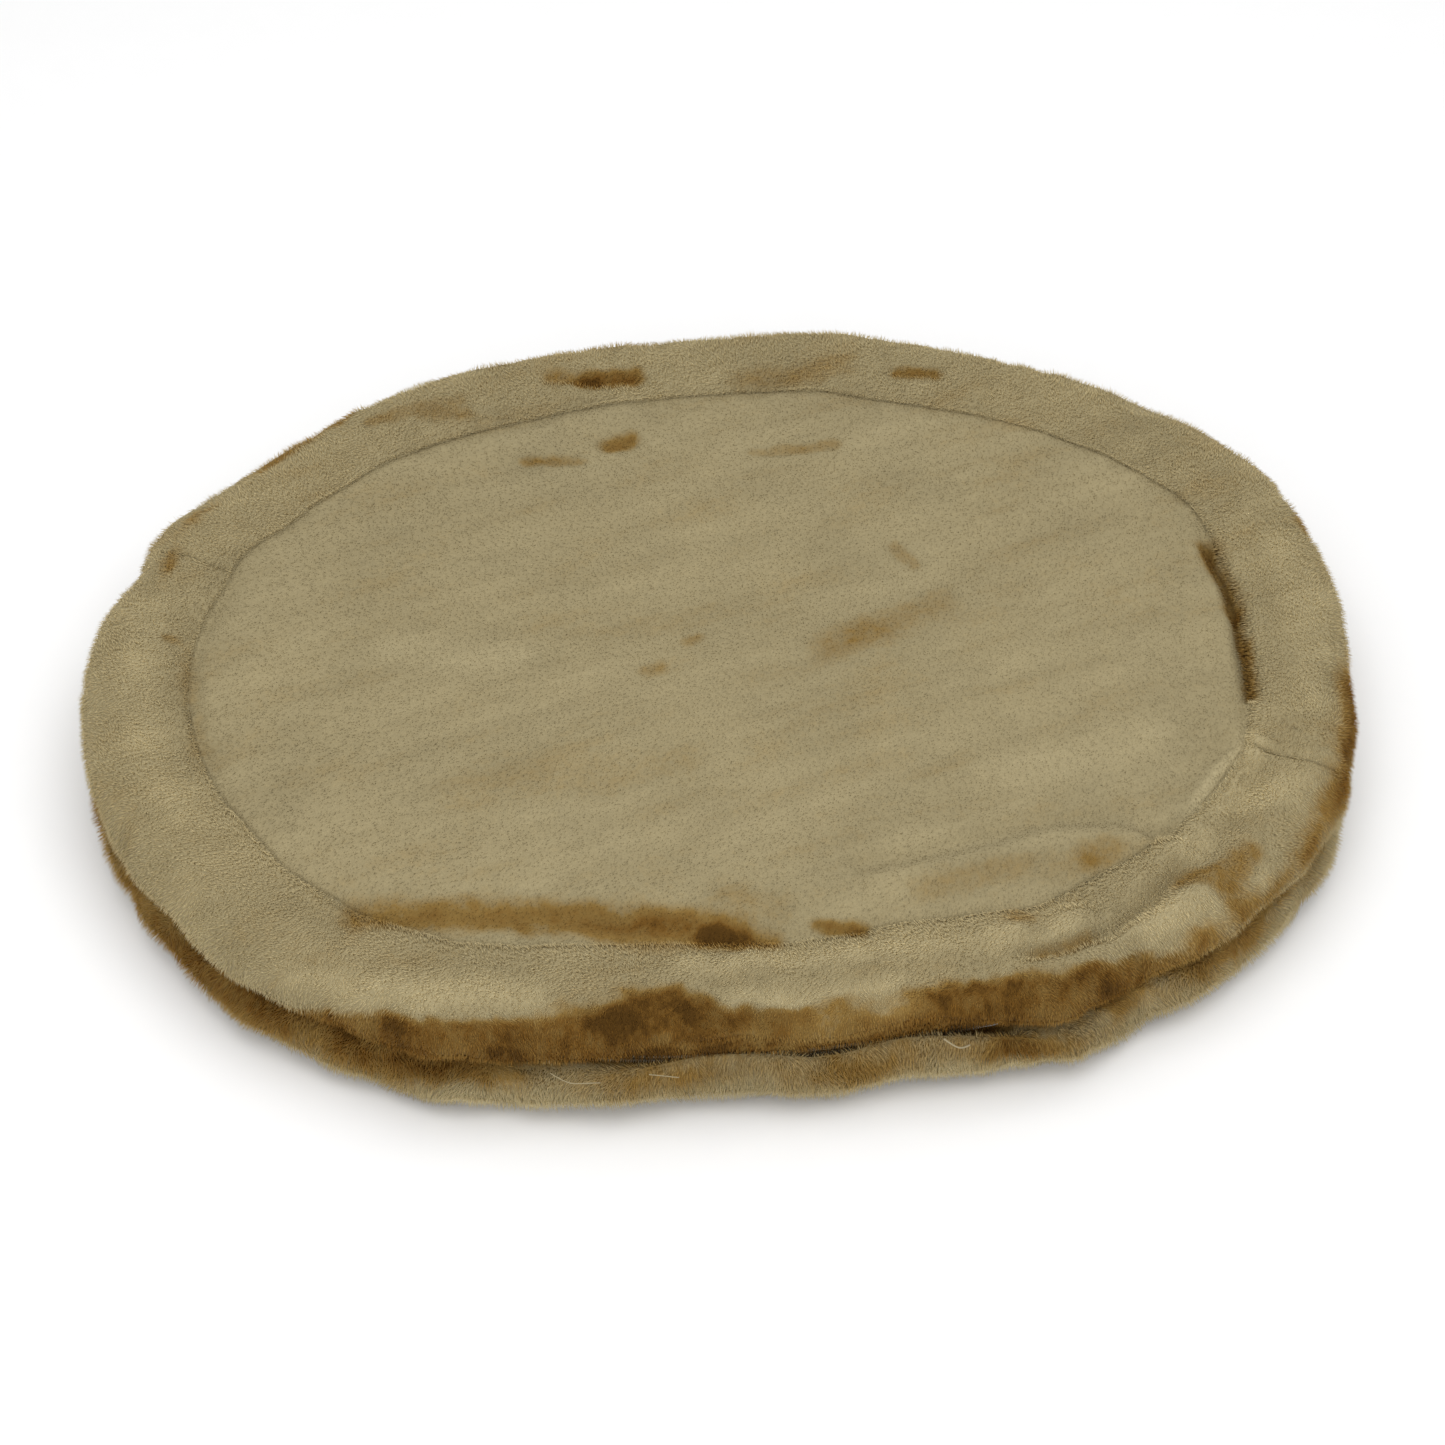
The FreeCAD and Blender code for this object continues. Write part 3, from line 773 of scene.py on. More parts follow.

# %% [markdown]
# ## Where the pile is parted, and where shade and highlights are painted
# Plush is light where its tips lie closed, and golden brown where it is brushed apart and the shaded
# roots show, so that brown is partly the pile's own colour and partly painted shade. The same number also
# paints shade into hollows, creases and the slit, and along the wall near the crease. It paints highlights,
# as values below 0, on crests and fold ridges. It is one number per point: 0 is closed pile, 1 is the
# darkest brown, and below 0 is a painted highlight. Marks on top are lines on the plan. Marks on the wall
# are a place round the oval and a distance down the cloth from the groove. The colours themselves come
# later, from a material.

# %% Brush marks, painted shade and painted highlights
TOP_MARKS = [
    # The right slit marks are painted shade in the slit.
    ("right_slit", [(282, 60), (286, 34), (288, 10)], 6, 0.62),
    ("right_slit_tail", [(288, 10), (289, -24), (286, -56)], 4, 0.62),
    # The front patch marks lie along the front hollow: partly brushed pile, partly painted shade in the hollow.
    ("front_patch", [(-205, -170), (-170, -173), (-132, -177), (-60, -187), (-12, -199)], 10, 0.55),
    ("front_patch_core", [(-76, -192), (-50, -197), (-26, -200)], 12, 0.30),
    ("front_patch_tail", [(-26, -200), (8, -205)], 7, 0.40),
    ("front_patch_drop", [(-122, -184), (-118, -190)], 4, 0.30),
    ("front_patch_end", [(32, -197), (42, -199), (54, -201)], 4.5, 0.62),
    ("corner_smudge", [(92, -179), (130, -172), (172, -170)], 10, 0.20),
    ("corner_smudge_core", [(180, -166), (190, -163)], 9, 0.26),
    ("front_smudge", [(-14, -178), (10, -184)], 11, 0.16),
    ("corner_scuff", [(136, -205), (142, -214)], 7, 0.22),
    # Painted shade in the corner tuck.
    ("corner_tuck", [(140, -229), (172, -223)], 5, 0.30),
    ("corner_tuft", [(228, -184), (244, -186), (262, -170)], 8, 0.45),
    # The marks with negative strength below are painted highlights: they lighten the pile on the front crest, the
    # corner fold, roll and flap, and the rim tops.
    ("front_crest_light", [(-250, -206), (-180, -229), (-118, -233)], 9, -0.22),
    ("front_crest_light_right", [(-40, -222), (49, -220), (110, -220), (160, -214)], 8, -0.22),
    ("corner_fold_light", [(234, -164), (252, -126), (278, -94)], 9, -0.28),
    ("corner_roll_light", [(262, -132), (292, -128)], 12, -0.25),
    ("corner_flap_light", [(206, -214), (232, -196)], 10, -0.25),
    ("right_rim_light", [(322, 56), (326, 0), (316, -62)], 12, -0.14),
    ("left_rim_light", [(-318, 60), (-322, -10), (-304, -90)], 13, -0.14),
    ("left_speckle", [(-299, 38), (-296, 0), (-289, -44)], 6, 0.14),
    ("left_dot", [(-308, 42), (-306, 40)], 4, 0.40),
    # The back crease, dimple, fold and line marks are painted shade in the hollows of the folds of the same names.
    ("back_crease", [(-82, 236), (-58, 236)], 6, 0.45),
    ("back_crease_core", [(-64, 233), (-32, 236)], 6, 0.72),
    ("back_dimple", [(-53, 176), (-40, 180)], 6, 0.75),
    ("back_fold", [(-101, 165), (-70, 162)], 4, 0.45),
    ("back_smudge", [(28, 226), (92, 232)], 9, 0.24),
    ("back_left_smudge", [(-160, 205), (-136, 209)], 5, 0.22),
    ("back_crease_right", [(124, 223), (146, 220)], 5, 0.55),
    ("back_line", [(30, 160), (80, 162)], 4, 0.28),
    ("back_edge", [(-190, 203), (-138, 219)], 5, 0.24),
    ("golden_smear", [(57, 1), (88, 12), (122, 30)], 12, 0.22),
    ("golden_smear_core", [(62, 2), (88, 6)], 8, 0.12),
    ("tuft", [(104, 74), (114, 61)], 5, 0.30),
    ("spot", [(-19, 11), (-15, 12)], 4, 0.34),
    ("spot_left", [(-44, -10), (-36, -9)], 5, 0.28),
    ("pad_haze", [(-150, -95), (-30, -82)], 16, 0.10),
    ("pad_haze_left", [(-180, 18), (-120, 6)], 14, -0.16),
    ("pad_haze_right", [(140, -100), (220, -80)], 16, -0.14),
]
# Wall marks paint brown where the pile is brushed apart, and also painted shade: most of all on the upper front wall
# and on the lower bulge just under the crease. Marks with negative strength paint the pile lighter.
WALL_MARKS = [
    (0.850, 43, 0.008, 4, 0.45), (0.866, 40, 0.008, 4, 0.45), (0.857, 55, 0.007, 6, 0.35),
    (0.876, 55, 0.005, 7, 0.30), (0.803, 64, 0.004, 14, 0.30), (0.831, 72, 0.006, 5, 0.35),
    (0.785, 100, 0.007, 9, 0.45), (0.812, 104, 0.020, 6, 0.80), (0.841, 84, 0.004, 4, -0.80),
    (0.895, 44, 0.016, 5, -0.25), (0.930, 54, 0.010, 9, -0.50), (0.945, 53, 0.006, 8, 0.30),
    (0.978, 53, 0.007, 6, 0.25), (0.986, 69, 0.005, 8, 0.30), (0.997, 104, 0.008, 10, 0.55),
    (0.870, 109, 0.032, 9, 0.36), (0.922, 111, 0.028, 9, 0.42), (0.965, 110, 0.014, 7, 0.85),
    (0.850, 126, 0.024, 8, -0.20), (0.925, 130, 0.030, 8, -0.15),
    (0.017, 64, 0.006, 8, 0.60), (0.033, 63, 0.006, 10, 0.70), (0.046, 68, 0.007, 10, 0.68),
    (0.060, 62, 0.007, 10, 0.66), (0.076, 60, 0.009, 11, 0.66),
    (0.090, 61, 0.010, 11, 0.66), (0.105, 60, 0.012, 12, 0.78),
    (0.122, 66, 0.012, 12, 0.78), (0.022, 106, 0.012, 8, 0.60), (0.038, 105, 0.012, 8, 0.55),
    (0.065, 96, 0.016, 10, 0.45), (0.150, 96, 0.030, 20, 0.45), (0.186, 58, 0.006, 4, 0.40),
    (0.199, 58, 0.007, 4, 0.55), (0.210, 57, 0.006, 4, 0.55), (0.230, 84, 0.050, 20, 0.40),
    (0.300, 78, 0.030, 16, 0.55), (0.345, 92, 0.040, 20, 0.45), (0.420, 74, 0.040, 15, 0.60),
    (0.455, 104, 0.040, 20, 0.50), (0.508, 53, 0.009, 4, 0.60), (0.522, 55, 0.006, 4, 0.45),
    (0.535, 55, 0.008, 4, 0.65), (0.566, 45, 0.007, 4, 0.55), (0.592, 38, 0.007, 4, 0.50),
    (0.560, 92, 0.040, 20, 0.50), (0.625, 104, 0.050, 18, 0.45), (0.672, 120, 0.014, 9, 0.45),
    (0.697, 112, 0.014, 12, 0.60), (0.720, 114, 0.014, 14, 0.68), (0.741, 108, 0.014, 16, 0.75),
    (0.764, 106, 0.012, 14, 0.80), (0.790, 112, 0.014, 10, 0.55),
]
# The front band paints the upper front wall dark brown from the crest down to the crease: partly brushed pile,
# partly painted shade where the wall turns down, away from the overhead lamp.
FRONT_BAND = [
    (0.735, 108, 0.10), (0.766, 75, 0.60), (0.782, 64, 0.72), (0.802, 49, 0.82), (0.821, 46, 0.84),
    (0.837, 44, 0.86), (0.853, 40, 0.92), (0.874, 35, 0.88), (0.886, 42, 0.80), (0.896, 46, 0.74),
    (0.912, 42, 0.68), (0.929, 45, 0.66), (0.944, 42, 0.88), (0.960, 40, 0.82), (0.977, 40, 0.78),
    (0.992, 54, 0.75), (1.008, 62, 0.50), (1.030, 64, 0.20),
]
SEAM_SHADE = 0.60


def wander(points, wave):
    """A soft random vector at each point, which changes over one wave length."""
    return np.array([noise.noise_vector(Vector(p) / wave) for p in points])


def paint_parting_and_shade(points, down):
    """How far the pile is brushed apart at each point, with painted shade and painted highlights in the same number.
    The marks are drawn on places that wander a little.
    """
    share = read_oval(points)[0]
    ragged = 3.5 * MM * wander(points, 24 * MM) + 2.5 * MM * wander(points, 8 * MM)
    plan = points[:, :2] + 0.6 * ragged[:, :2]
    blotch = 1 + 0.30 * wander(points, 30 * MM)[:, 0] + 0.30 * wander(points, 11 * MM)[:, 1]
    share = share + ragged[:, 0] / PERIMETER
    down = down + 1.4 * ragged[:, 2] * smooth(down / (20 * MM))
    on_top = 1 - smooth((down - 48 * MM) / (12 * MM))
    parted = np.zeros(len(points))
    for name, line, width, strength in TOP_MARKS:
        parted += strength * on_top * np.exp(-(distance_to_line(plan, line) / (width * MM)) ** 3)
    for place, reach, spread, tall, strength in WALL_MARKS:
        parted += strength * bell(round_trip(share, place), spread) * bell(down - reach * MM, tall * MM)
    places, starts, strengths = np.array(FRONT_BAND).T
    turn = np.where(share < 0.5, share + 1, share)
    start = np.interp(turn, places, starts) * MM
    band = smooth((down - start) / (9 * MM)) * (1 - smooth((down - CREASE_DOWN + 4 * MM) / (9 * MM)))
    parted += band * np.interp(turn, places, strengths, left=0, right=0)
    parted *= blotch
    parted += SEAM_SHADE * bell(down - CREASE_DOWN, 7 * MM)
    return parted


# %% Which way the pile lies
PILE_CLUMP = 20 * MM


def comb_pile(points, down):
    """The way the pile leans: down the wall, askew on the pad, and a little differently in each clump."""
    share, inset, outwards = read_oval(points)
    wall = smooth((down - 20 * MM) / (35 * MM))
    clump = np.array([noise.noise_vector(Vector(p) / PILE_CLUMP) for p in points])
    comb = clump * (0.55 + 0.55 * smooth((down - CREASE_DOWN) / (15 * MM)))[:, None]
    comb[:, :2] += outwards * (0.25 * (1 - wall))[:, None] + np.array([-0.55, -0.50]) * (1 - wall)[:, None]
    comb[:, :2] -= outwards * (1.2 * np.tanh(down / (2 * MM)) * bell(down, 9 * MM))[:, None]
    comb[:, 2] -= 0.75 * wall
    return comb


# %% Coordinates on the cloth
def cloth_place(points, down, panel):
    """Along and across each piece of cloth, in metres, as it lay when it was cut."""
    if panel == TOP:
        return points[:, 0] - cad_low.x, points[:, 1] - cad_low.y
    share = read_oval(points)[0]
    along = ((share - FIRST_SHARE) % 1.0) * PERIMETER
    wrapped = along < PERIMETER / 4 if panel in (RIM_FRONT, LOWER_FRONT) else along > 3 * PERIMETER / 4
    shift = PERIMETER if panel in (RIM_FRONT, LOWER_FRONT) else -PERIMETER
    along = along + shift * wrapped
    if panel in (RIM_FRONT, LOWER_FRONT):
        along = along - PERIMETER / 2
    return along, down - (0 if panel in (RIM_FRONT, RIM_REAR) else CREASE_DOWN)


def mark_cloth(mesh, panel):
    points, down = positions(mesh), per_point(mesh, "down")
    along, across = cloth_place(points, down, panel)
    put_per_point(mesh, "along", along)
    put_per_point(mesh, "across", across)
    put_per_point(mesh, "parted", paint_parting_and_shade(points, down))
    share = read_oval(points)[0]
    opened = np.array([mouth(s) for s in share]) > MOUTH / 2
    bare = opened & (down > CREASE_DOWN - 3 * MM) & (down < CREASE_DOWN + 6 * MM)
    put_per_point(mesh, "pile", np.where(bare, 0.0, 1.0 + 1.6 * bell(down, 3 * MM)))
    layer = mesh.attributes.get("comb") or mesh.attributes.new("comb", "FLOAT_VECTOR", "POINT")
    layer.data.foreach_set("vector", comb_pile(points, down).astype(np.float32).ravel())


# %% The flat map of each piece
MAP_NAME = "OFBake"
MAP_SIZE = 0.72
STRIP_FOLDS = {TOP: 1, RIM_FRONT: 3, RIM_REAR: 3, LOWER_FRONT: 4, LOWER_REAR: 4}
STRIP_GAP = 4 * MM


def lay_flat(mesh, panel, tall):
    """Writes the piece's flat map: a strip is cut in a few lengths that lie one above another."""
    corners = np.empty(len(mesh.loops), dtype=np.int32)
    mesh.loops.foreach_get("vertex_index", corners)
    sizes = np.empty(len(mesh.polygons), dtype=np.int32)
    mesh.polygons.foreach_get("loop_total", sizes)
    face = np.repeat(np.arange(len(sizes)), sizes)
    along, across = per_point(mesh, "along")[corners], per_point(mesh, "across")[corners]
    middle = np.bincount(face, along) / sizes
    folds = STRIP_FOLDS[panel]
    length = (LENGTH if panel == TOP else PERIMETER / 2) / folds
    row = np.clip(np.floor(middle / length), 0, folds - 1)[face]
    flat = np.stack([along - row * length, across + row * (tall + STRIP_GAP) + STRIP_GAP], 1)
    if "spike_map" in mesh.attributes:
        local = np.empty(len(corners) * 2)
        mesh.attributes["spike_map"].data.foreach_get("vector", local)
        flat += local.reshape(-1, 2)
    flat = flat / (MAP_SIZE if panel == TOP else 0.36)
    layer = mesh.uv_layers.get(MAP_NAME) or mesh.uv_layers.new(name=MAP_NAME)
    layer.data.foreach_set("uv", np.clip(flat, 0.001, 0.999).astype(np.float32).ravel())
    mesh.uv_layers.active = layer


# %% [markdown]
# ## Pile
# Real pile has millions of fibres. Here each spike stands for a lock of them: a cone with three sides,
# so that many thousands stay light. Geometry Nodes scatter the spikes over the cloth and lean them, and
# the result is kept as an ordinary mesh. Each spike remembers where its root is and how far a point is
# along it, so the material can shade roots and tips, and so can its flat map.

# %% One spike
def make_spike():
    bm = bmesh.new()
    bmesh.ops.create_cone(bm, cap_ends=True, segments=3, radius1=0.5, radius2=0.0, depth=1.0)
    bmesh.ops.remove_doubles(bm, verts=bm.verts, dist=1e-4)
    bmesh.ops.translate(bm, verts=bm.verts, vec=(0, 0, 0.5))
    mesh = bpy.data.meshes.new("spike")
    bm.to_mesh(mesh)
    bm.free()
    put_per_point(mesh, "tip", positions(mesh)[:, 2])
    layer = mesh.attributes.new("spike_map", "FLOAT2", "CORNER")
    patch = []
    for polygon in mesh.polygons:
        for place, index in enumerate(polygon.loop_indices):
            height = mesh.vertices[mesh.loops[index].vertex_index].co.z
            patch += [0.4 * MM * (place % 2), 1.0 * MM * height + 0.2 * MM * (place // 2)]
    layer.data.foreach_set("vector", patch)
    spike = bpy.data.objects.new("spike", mesh)
    bpy.context.scene.collection.objects.link(spike)
    return spike


spike = make_spike()


# %% A scatter of spikes
class Scatter:
    """A Geometry Nodes tree, with one method that adds a node."""

    def __init__(self, name):
        self.tree = bpy.data.node_groups.new(name, "GeometryNodeTree")
        self.tree.interface.new_socket("Geometry", in_out="INPUT", socket_type="NodeSocketGeometry")
        self.tree.interface.new_socket("Geometry", in_out="OUTPUT", socket_type="NodeSocketGeometry")

    def add(self, kind, settings=None, sockets=None):
        node = self.tree.nodes.new(kind)
        for name, value in (settings or {}).items():
            setattr(node, name, value)
        for name, value in (sockets or {}).items():
            if isinstance(value, bpy.types.NodeSocket):
                self.tree.links.new(value, node.inputs[name])
            else:
                node.inputs[name].default_value = value
        return node.outputs

    def attribute(self, name, kind="FLOAT"):
        return self.add("GeometryNodeInputNamedAttribute", {"data_type": kind}, {"Name": name})["Attribute"]

    def vector(self, operation, first, second):
        return self.add("ShaderNodeVectorMath", {"operation": operation}, {0: first, 1: second})["Vector"]


def grow_pile(cloth_mesh, name, per_square_mm, long, wide, seed):
    """Spikes all over a piece of cloth, as one mesh."""
    scatter = Scatter(name)
    cloth = scatter.add("NodeGroupInput")[0]
    share = scatter.attribute("pile")
    thick = scatter.add("ShaderNodeMath", {"operation": "MULTIPLY"}, {0: share, 1: per_square_mm / MM ** 2})[0]
    roots = scatter.add("GeometryNodeDistributePointsOnFaces", {}, {"Mesh": cloth, "Density": thick, "Seed": seed})
    jitter = scatter.add("FunctionNodeRandomValue", {"data_type": "FLOAT_VECTOR"},
                         {0: (-0.16, -0.16, -0.16), 1: (0.16, 0.16, 0.16), "Seed": seed + 1})[0]
    lean = scatter.vector("ADD", scatter.vector("ADD", roots["Normal"], scatter.attribute("comb", "FLOAT_VECTOR")),
                          jitter)
    twist = scatter.add("FunctionNodeRandomValue", {"data_type": "FLOAT_VECTOR"},
                        {0: (0, 0, 0), 1: (0, 0, 6.28), "Seed": seed + 2})[0]
    turn = scatter.add("FunctionNodeAlignRotationToVector", {"axis": "Z"}, {"Rotation": twist, "Vector": lean})[0]
    size = scatter.add("FunctionNodeRandomValue", {"data_type": "FLOAT_VECTOR"},
                       {0: (0.8 * wide, 0.8 * wide, 0.6 * long), 1: (1.2 * wide, 1.2 * wide, 1.25 * long),
                        "Seed": seed + 3})[0]
    chance = scatter.add("FunctionNodeRandomValue", {"data_type": "FLOAT"}, {"Seed": seed + 4})[1]
    named = scatter.add("GeometryNodeStoreNamedAttribute", {"data_type": "FLOAT", "domain": "POINT"},
                        {"Geometry": roots["Points"], "Name": "chance", "Value": chance})[0]
    lock = scatter.add("GeometryNodeObjectInfo", {}, {"Object": spike})["Geometry"]
    standing = scatter.add("GeometryNodeInstanceOnPoints", {},
                           {"Points": named, "Instance": lock, "Rotation": turn, "Scale": size})[0]
    kept = scatter.add("GeometryNodeRealizeInstances", {}, {"Geometry": standing})[0]
    scatter.add("NodeGroupOutput", {}, {0: kept})
    grower = new_piece(name + "_roots", cloth_mesh)
    grower.modifiers.new("pile", "NODES").node_group = scatter.tree
    pile_mesh = finished_mesh(grower, name)
    bpy.data.objects.remove(grower)
    return pile_mesh


# %% [markdown]
# ## Plush, as a material
# The backing and the pile share one set of colours, so that the spikes melt into the cloth beneath them.
# A ramp turns the parting number into colour, from pale tan, where painted highlights push it below 0, over tan
# and gold to deep brown, which also serves as painted shade. Noise at three sizes breaks it up: broad clouds,
# soft bands where a hand has stroked the pad, and fine specks.

# %% Plush colours
# PALE is reached by random tone and by painted highlights. BROWN and DEEP are reached by brushed pile and by painted
# shade.
PALE = (0.400, 0.335, 0.190)
TAN = (0.315, 0.259, 0.142)
GOLD = (0.228, 0.142, 0.040)
BROWN = (0.142, 0.070, 0.012)
DEEP = (0.080, 0.038, 0.006)


def plush_colour(recipe, place, tip_shade):
    """The colour of the plush at a place: tan where it is closed, brown where it is brushed apart and where shade is
    painted, pale where a highlight is painted.
    """
    parted = recipe.add("Attribute", {"attribute_name": "parted"}, output=2)
    clouds = recipe.noise(place, 22.0, 3.0)
    specks = recipe.noise(place, 420.0, 3.0, 0.7)
    locks = recipe.noise(place, 130.0, 3.0, 0.6)
    mapping = {"Vector": place, "Rotation": (0, 0, math.radians(18)), "Scale": (1.0, 0.25, 1.0)}
    stroked = recipe.noise(recipe.add("Mapping", {"vector_type": "TEXTURE"}, mapping), 11.0, 4.0, 0.6)
    combed = recipe.add("Mapping", {}, {"Vector": place, "Scale": (1.0, 1.0, 0.2)})
    streaks = recipe.noise(combed, 240.0, 2.0, 0.6)
    soft = (specks - 0.5) * 0.12 + (stroked - 0.5) * 0.55 + (clouds - 0.5) * 0.16 + (streaks - 0.5) * 0.18
    ragged = parted * (0.35 + 0.7 * locks + 0.6 * streaks) + soft
    stops = [(0.0, PALE + (1,)), (0.22, TAN + (1,)), (0.54, GOLD + (1,)), (0.86, BROWN + (1,)), (1.0, DEEP + (1,))]
    base = recipe.add("ValToRGB", {"stops": stops}, {"Fac": (ragged * 0.72 + 0.20).held()})
    flecks = 0.40 * (locks - 0.5) * (0.25 + parted) + 0.22 * (specks - 0.5) + 0.22 * (streaks - 0.5)
    shade = (0.84 + 0.32 * clouds + flecks) * tip_shade
    grey = recipe.add("CombineColor", {}, {0: shade, 1: shade, 2: shade})
    return recipe.add("Mix", {"data_type": "RGBA", "blend_type": "MULTIPLY"}, {0: 1.0, 6: base, 7: grey}, output=2)


def backing_finish():
    recipe = Recipe("plush_backing")
    place = recipe.add("TexCoord", output=3)
    nap = recipe.noise(place, 700.0, 3.0, 0.7) * 0.7 + recipe.noise(place, 160.0, 2.0) * 0.6
    colour = plush_colour(recipe, place, recipe.noise(place, 900.0, 1.0) * 0.3 + 0.85)
    return recipe.finish(colour, 0.95, bump=nap, depth=1.2 * MM, Specular_IOR_Level=0.12)


def pile_finish(name, self_shadow_lift):
    recipe = Recipe(name)
    place = recipe.add("TexCoord", output=3)
    tip = recipe.add("Attribute", {"attribute_name": "tip"}, output=2)
    chance = recipe.add("Attribute", {"attribute_name": "chance"}, output=2)
    # Roots are painted darker than tips, as painted shade inside the pile, and the whole pile is painted lighter by
    # a factor that offsets the shadow the spikes cast on each other.
    colour = plush_colour(recipe, place, self_shadow_lift * (0.90 + 0.20 * tip + 0.10 * (chance - 0.5)))
    return recipe.finish(colour, 0.9, Specular_IOR_Level=0.12)


BACKING = backing_finish()
# Lighter copies of one pile material: the long pile is painted lighter than the short pile, to offset its deeper
# self-shadow.
SHORT_PILE = pile_finish("plush_pile_short", 1.25)
LONG_PILE = pile_finish("plush_pile_long", 1.92)

# %% [markdown]
# ## Cutting the cover into its panels
# Five panels of plush make the cover: the pad's top, and a front and a rear strip above and below the
# crease. Each becomes a piece of its own, with its raw edges turned in and the thickness of the backing,
# and with its own crop of pile.

# %% Panels
HEM = 4 * MM
BACKING_THICKNESS = 1.0 * MM
FLOOR_GAP = 0.2 * MM
PANELS = [
    ("top_panel", TOP, 0.0, 0.228, 2.3 * MM, 0.34 * MM),
    ("rim_panel_front", RIM_FRONT, CREASE_DOWN, 0.535, 3.9 * MM, 0.42 * MM),
    ("rim_panel_rear", RIM_REAR, CREASE_DOWN, 0.535, 3.9 * MM, 0.42 * MM),
    ("lower_panel_front", LOWER_FRONT, BASE_DOWN - CREASE_DOWN, 0.80, 5.6 * MM, 0.42 * MM),
    ("lower_panel_rear", LOWER_REAR, BASE_DOWN - CREASE_DOWN, 0.80, 5.6 * MM, 0.42 * MM),
]
PLUSH_NODES = [name for name, *_ in PANELS]


def cut_panel(name, panel):
    """One panel's faces, still without a hem or a thickness."""
    bm = bmesh.new()
    bm.from_mesh(fine_mesh)
    others = [face for face in bm.faces if face.material_index != panel]
    bmesh.ops.delete(bm, geom=others, context="FACES")
    mesh = bpy.data.meshes.new(name)
    bm.to_mesh(mesh)
    bm.free()
    mark_cloth(mesh, panel)
    return mesh


def hem_and_line(mesh, name):
    """Turns the raw edges in and gives the cloth its thickness."""
    bm = bmesh.new()
    bm.from_mesh(mesh)
    edges = [edge for edge in bm.edges if len(edge.link_faces) == 1]
    inwards = {vert: -HEM * vert.normal for edge in edges for vert in edge.verts}
    made = bmesh.ops.extrude_edge_only(bm, edges=edges)["geom"]
    turned = [g for g in made if isinstance(g, bmesh.types.BMVert)]
    origin = {tuple(vert.co): move for vert, move in inwards.items()}
    for vert in turned:
        vert.co += origin[tuple(vert.co)]
    bm.to_mesh(mesh)
    bm.free()
    piece = new_piece(name + "_cloth", mesh)
    wall = piece.modifiers.new("backing", "SOLIDIFY")
    wall.thickness, wall.offset = BACKING_THICKNESS, -1.0
    lined = finished_mesh(piece, name)
    bpy.data.objects.remove(piece)
    return lined


def dress(mesh, material, smooth_faces=True):
    """One material all over."""
    mesh.materials.clear()
    mesh.materials.append(material)
    mesh.polygons.foreach_set("material_index", np.zeros(len(mesh.polygons), dtype=np.int32))
    mesh.polygons.foreach_set("use_smooth", np.full(len(mesh.polygons), smooth_faces))
    mesh.update()


def make_panel(name, panel, tall, thick, long, wide, seed):
    cut = cut_panel(name, panel)
    pile_mesh = grow_pile(cut, name + "_pile", thick, long, wide, seed)
    grown = positions(pile_mesh)
    grown[:, 2] = np.maximum(grown[:, 2], cad_low.z + FLOOR_GAP)
    put_positions(pile_mesh, grown)
    lay_flat(pile_mesh, panel, tall)
    dress(pile_mesh, SHORT_PILE if panel == TOP else LONG_PILE)
    lined = hem_and_line(cut, name)
    lay_flat(lined, panel, tall)
    dress(lined, BACKING)
    cloth, pile = new_piece(name + "_cloth", lined), new_piece(name + "_pile", pile_mesh)
    for piece in (cloth, pile):
        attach(piece, "bed")
    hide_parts(name)
    print(name, "cloth", len(lined.polygons), "faces; pile", len(pile_mesh.polygons), "faces")
    return cloth, pile


for seed, (name, panel, tall, thick, long, wide) in enumerate(PANELS):
    make_panel(name, panel, tall, thick, long, wide, 10 * seed)
bpy.data.objects.remove(spike)

# %% [markdown]
# ## What is inside
# The filling settles with the cover, so each inner part follows the same pushes and folds. A copy of the
# CAD part is eased in a little from every side, so that it never shows through the cloth, and then moved
# with the cover.

# %% Plain finishes for what is inside
def woven_finish(name, light, dark, threads_per_metre, depth):
    """Plain weave: two crossed waves, which pass over and under each other."""
    recipe = Recipe(name)
    place = recipe.add("TexCoord", output=3)
    turns = 2 * math.pi * threads_per_metre
    x = recipe.add("SeparateXYZ", {}, {0: place}, output=0)
    y = recipe.add("SeparateXYZ", {}, {0: place}, output=1)
    warp = recipe.add("Math", {"operation": "SINE"}, {0: x * turns})
    weft = recipe.add("Math", {"operation": "SINE"}, {0: y * turns})
    weave = (warp * weft) * 0.5 + 0.5
    slub = recipe.noise(place, 300.0, 3.0)
    colour = recipe.mix((weave * 0.5 + slub * 0.6).held(), paint(*dark), paint(*light))
    return recipe.finish(colour, 0.9, bump=weave + slub, depth=depth, Sheen_Weight=0.1)


def fibre_finish(name, light, dark, scale, depth):
    """Loose matted fibre, or the open cells of foam."""
    recipe = Recipe(name)
    place = recipe.add("TexCoord", output=3)
    mat = recipe.noise(place, scale, 5.0, 0.7)
    colour = recipe.mix(mat, paint(*dark), paint(*light))
    return recipe.finish(colour, 0.95, bump=mat, depth=depth, Sheen_Weight=0.15)


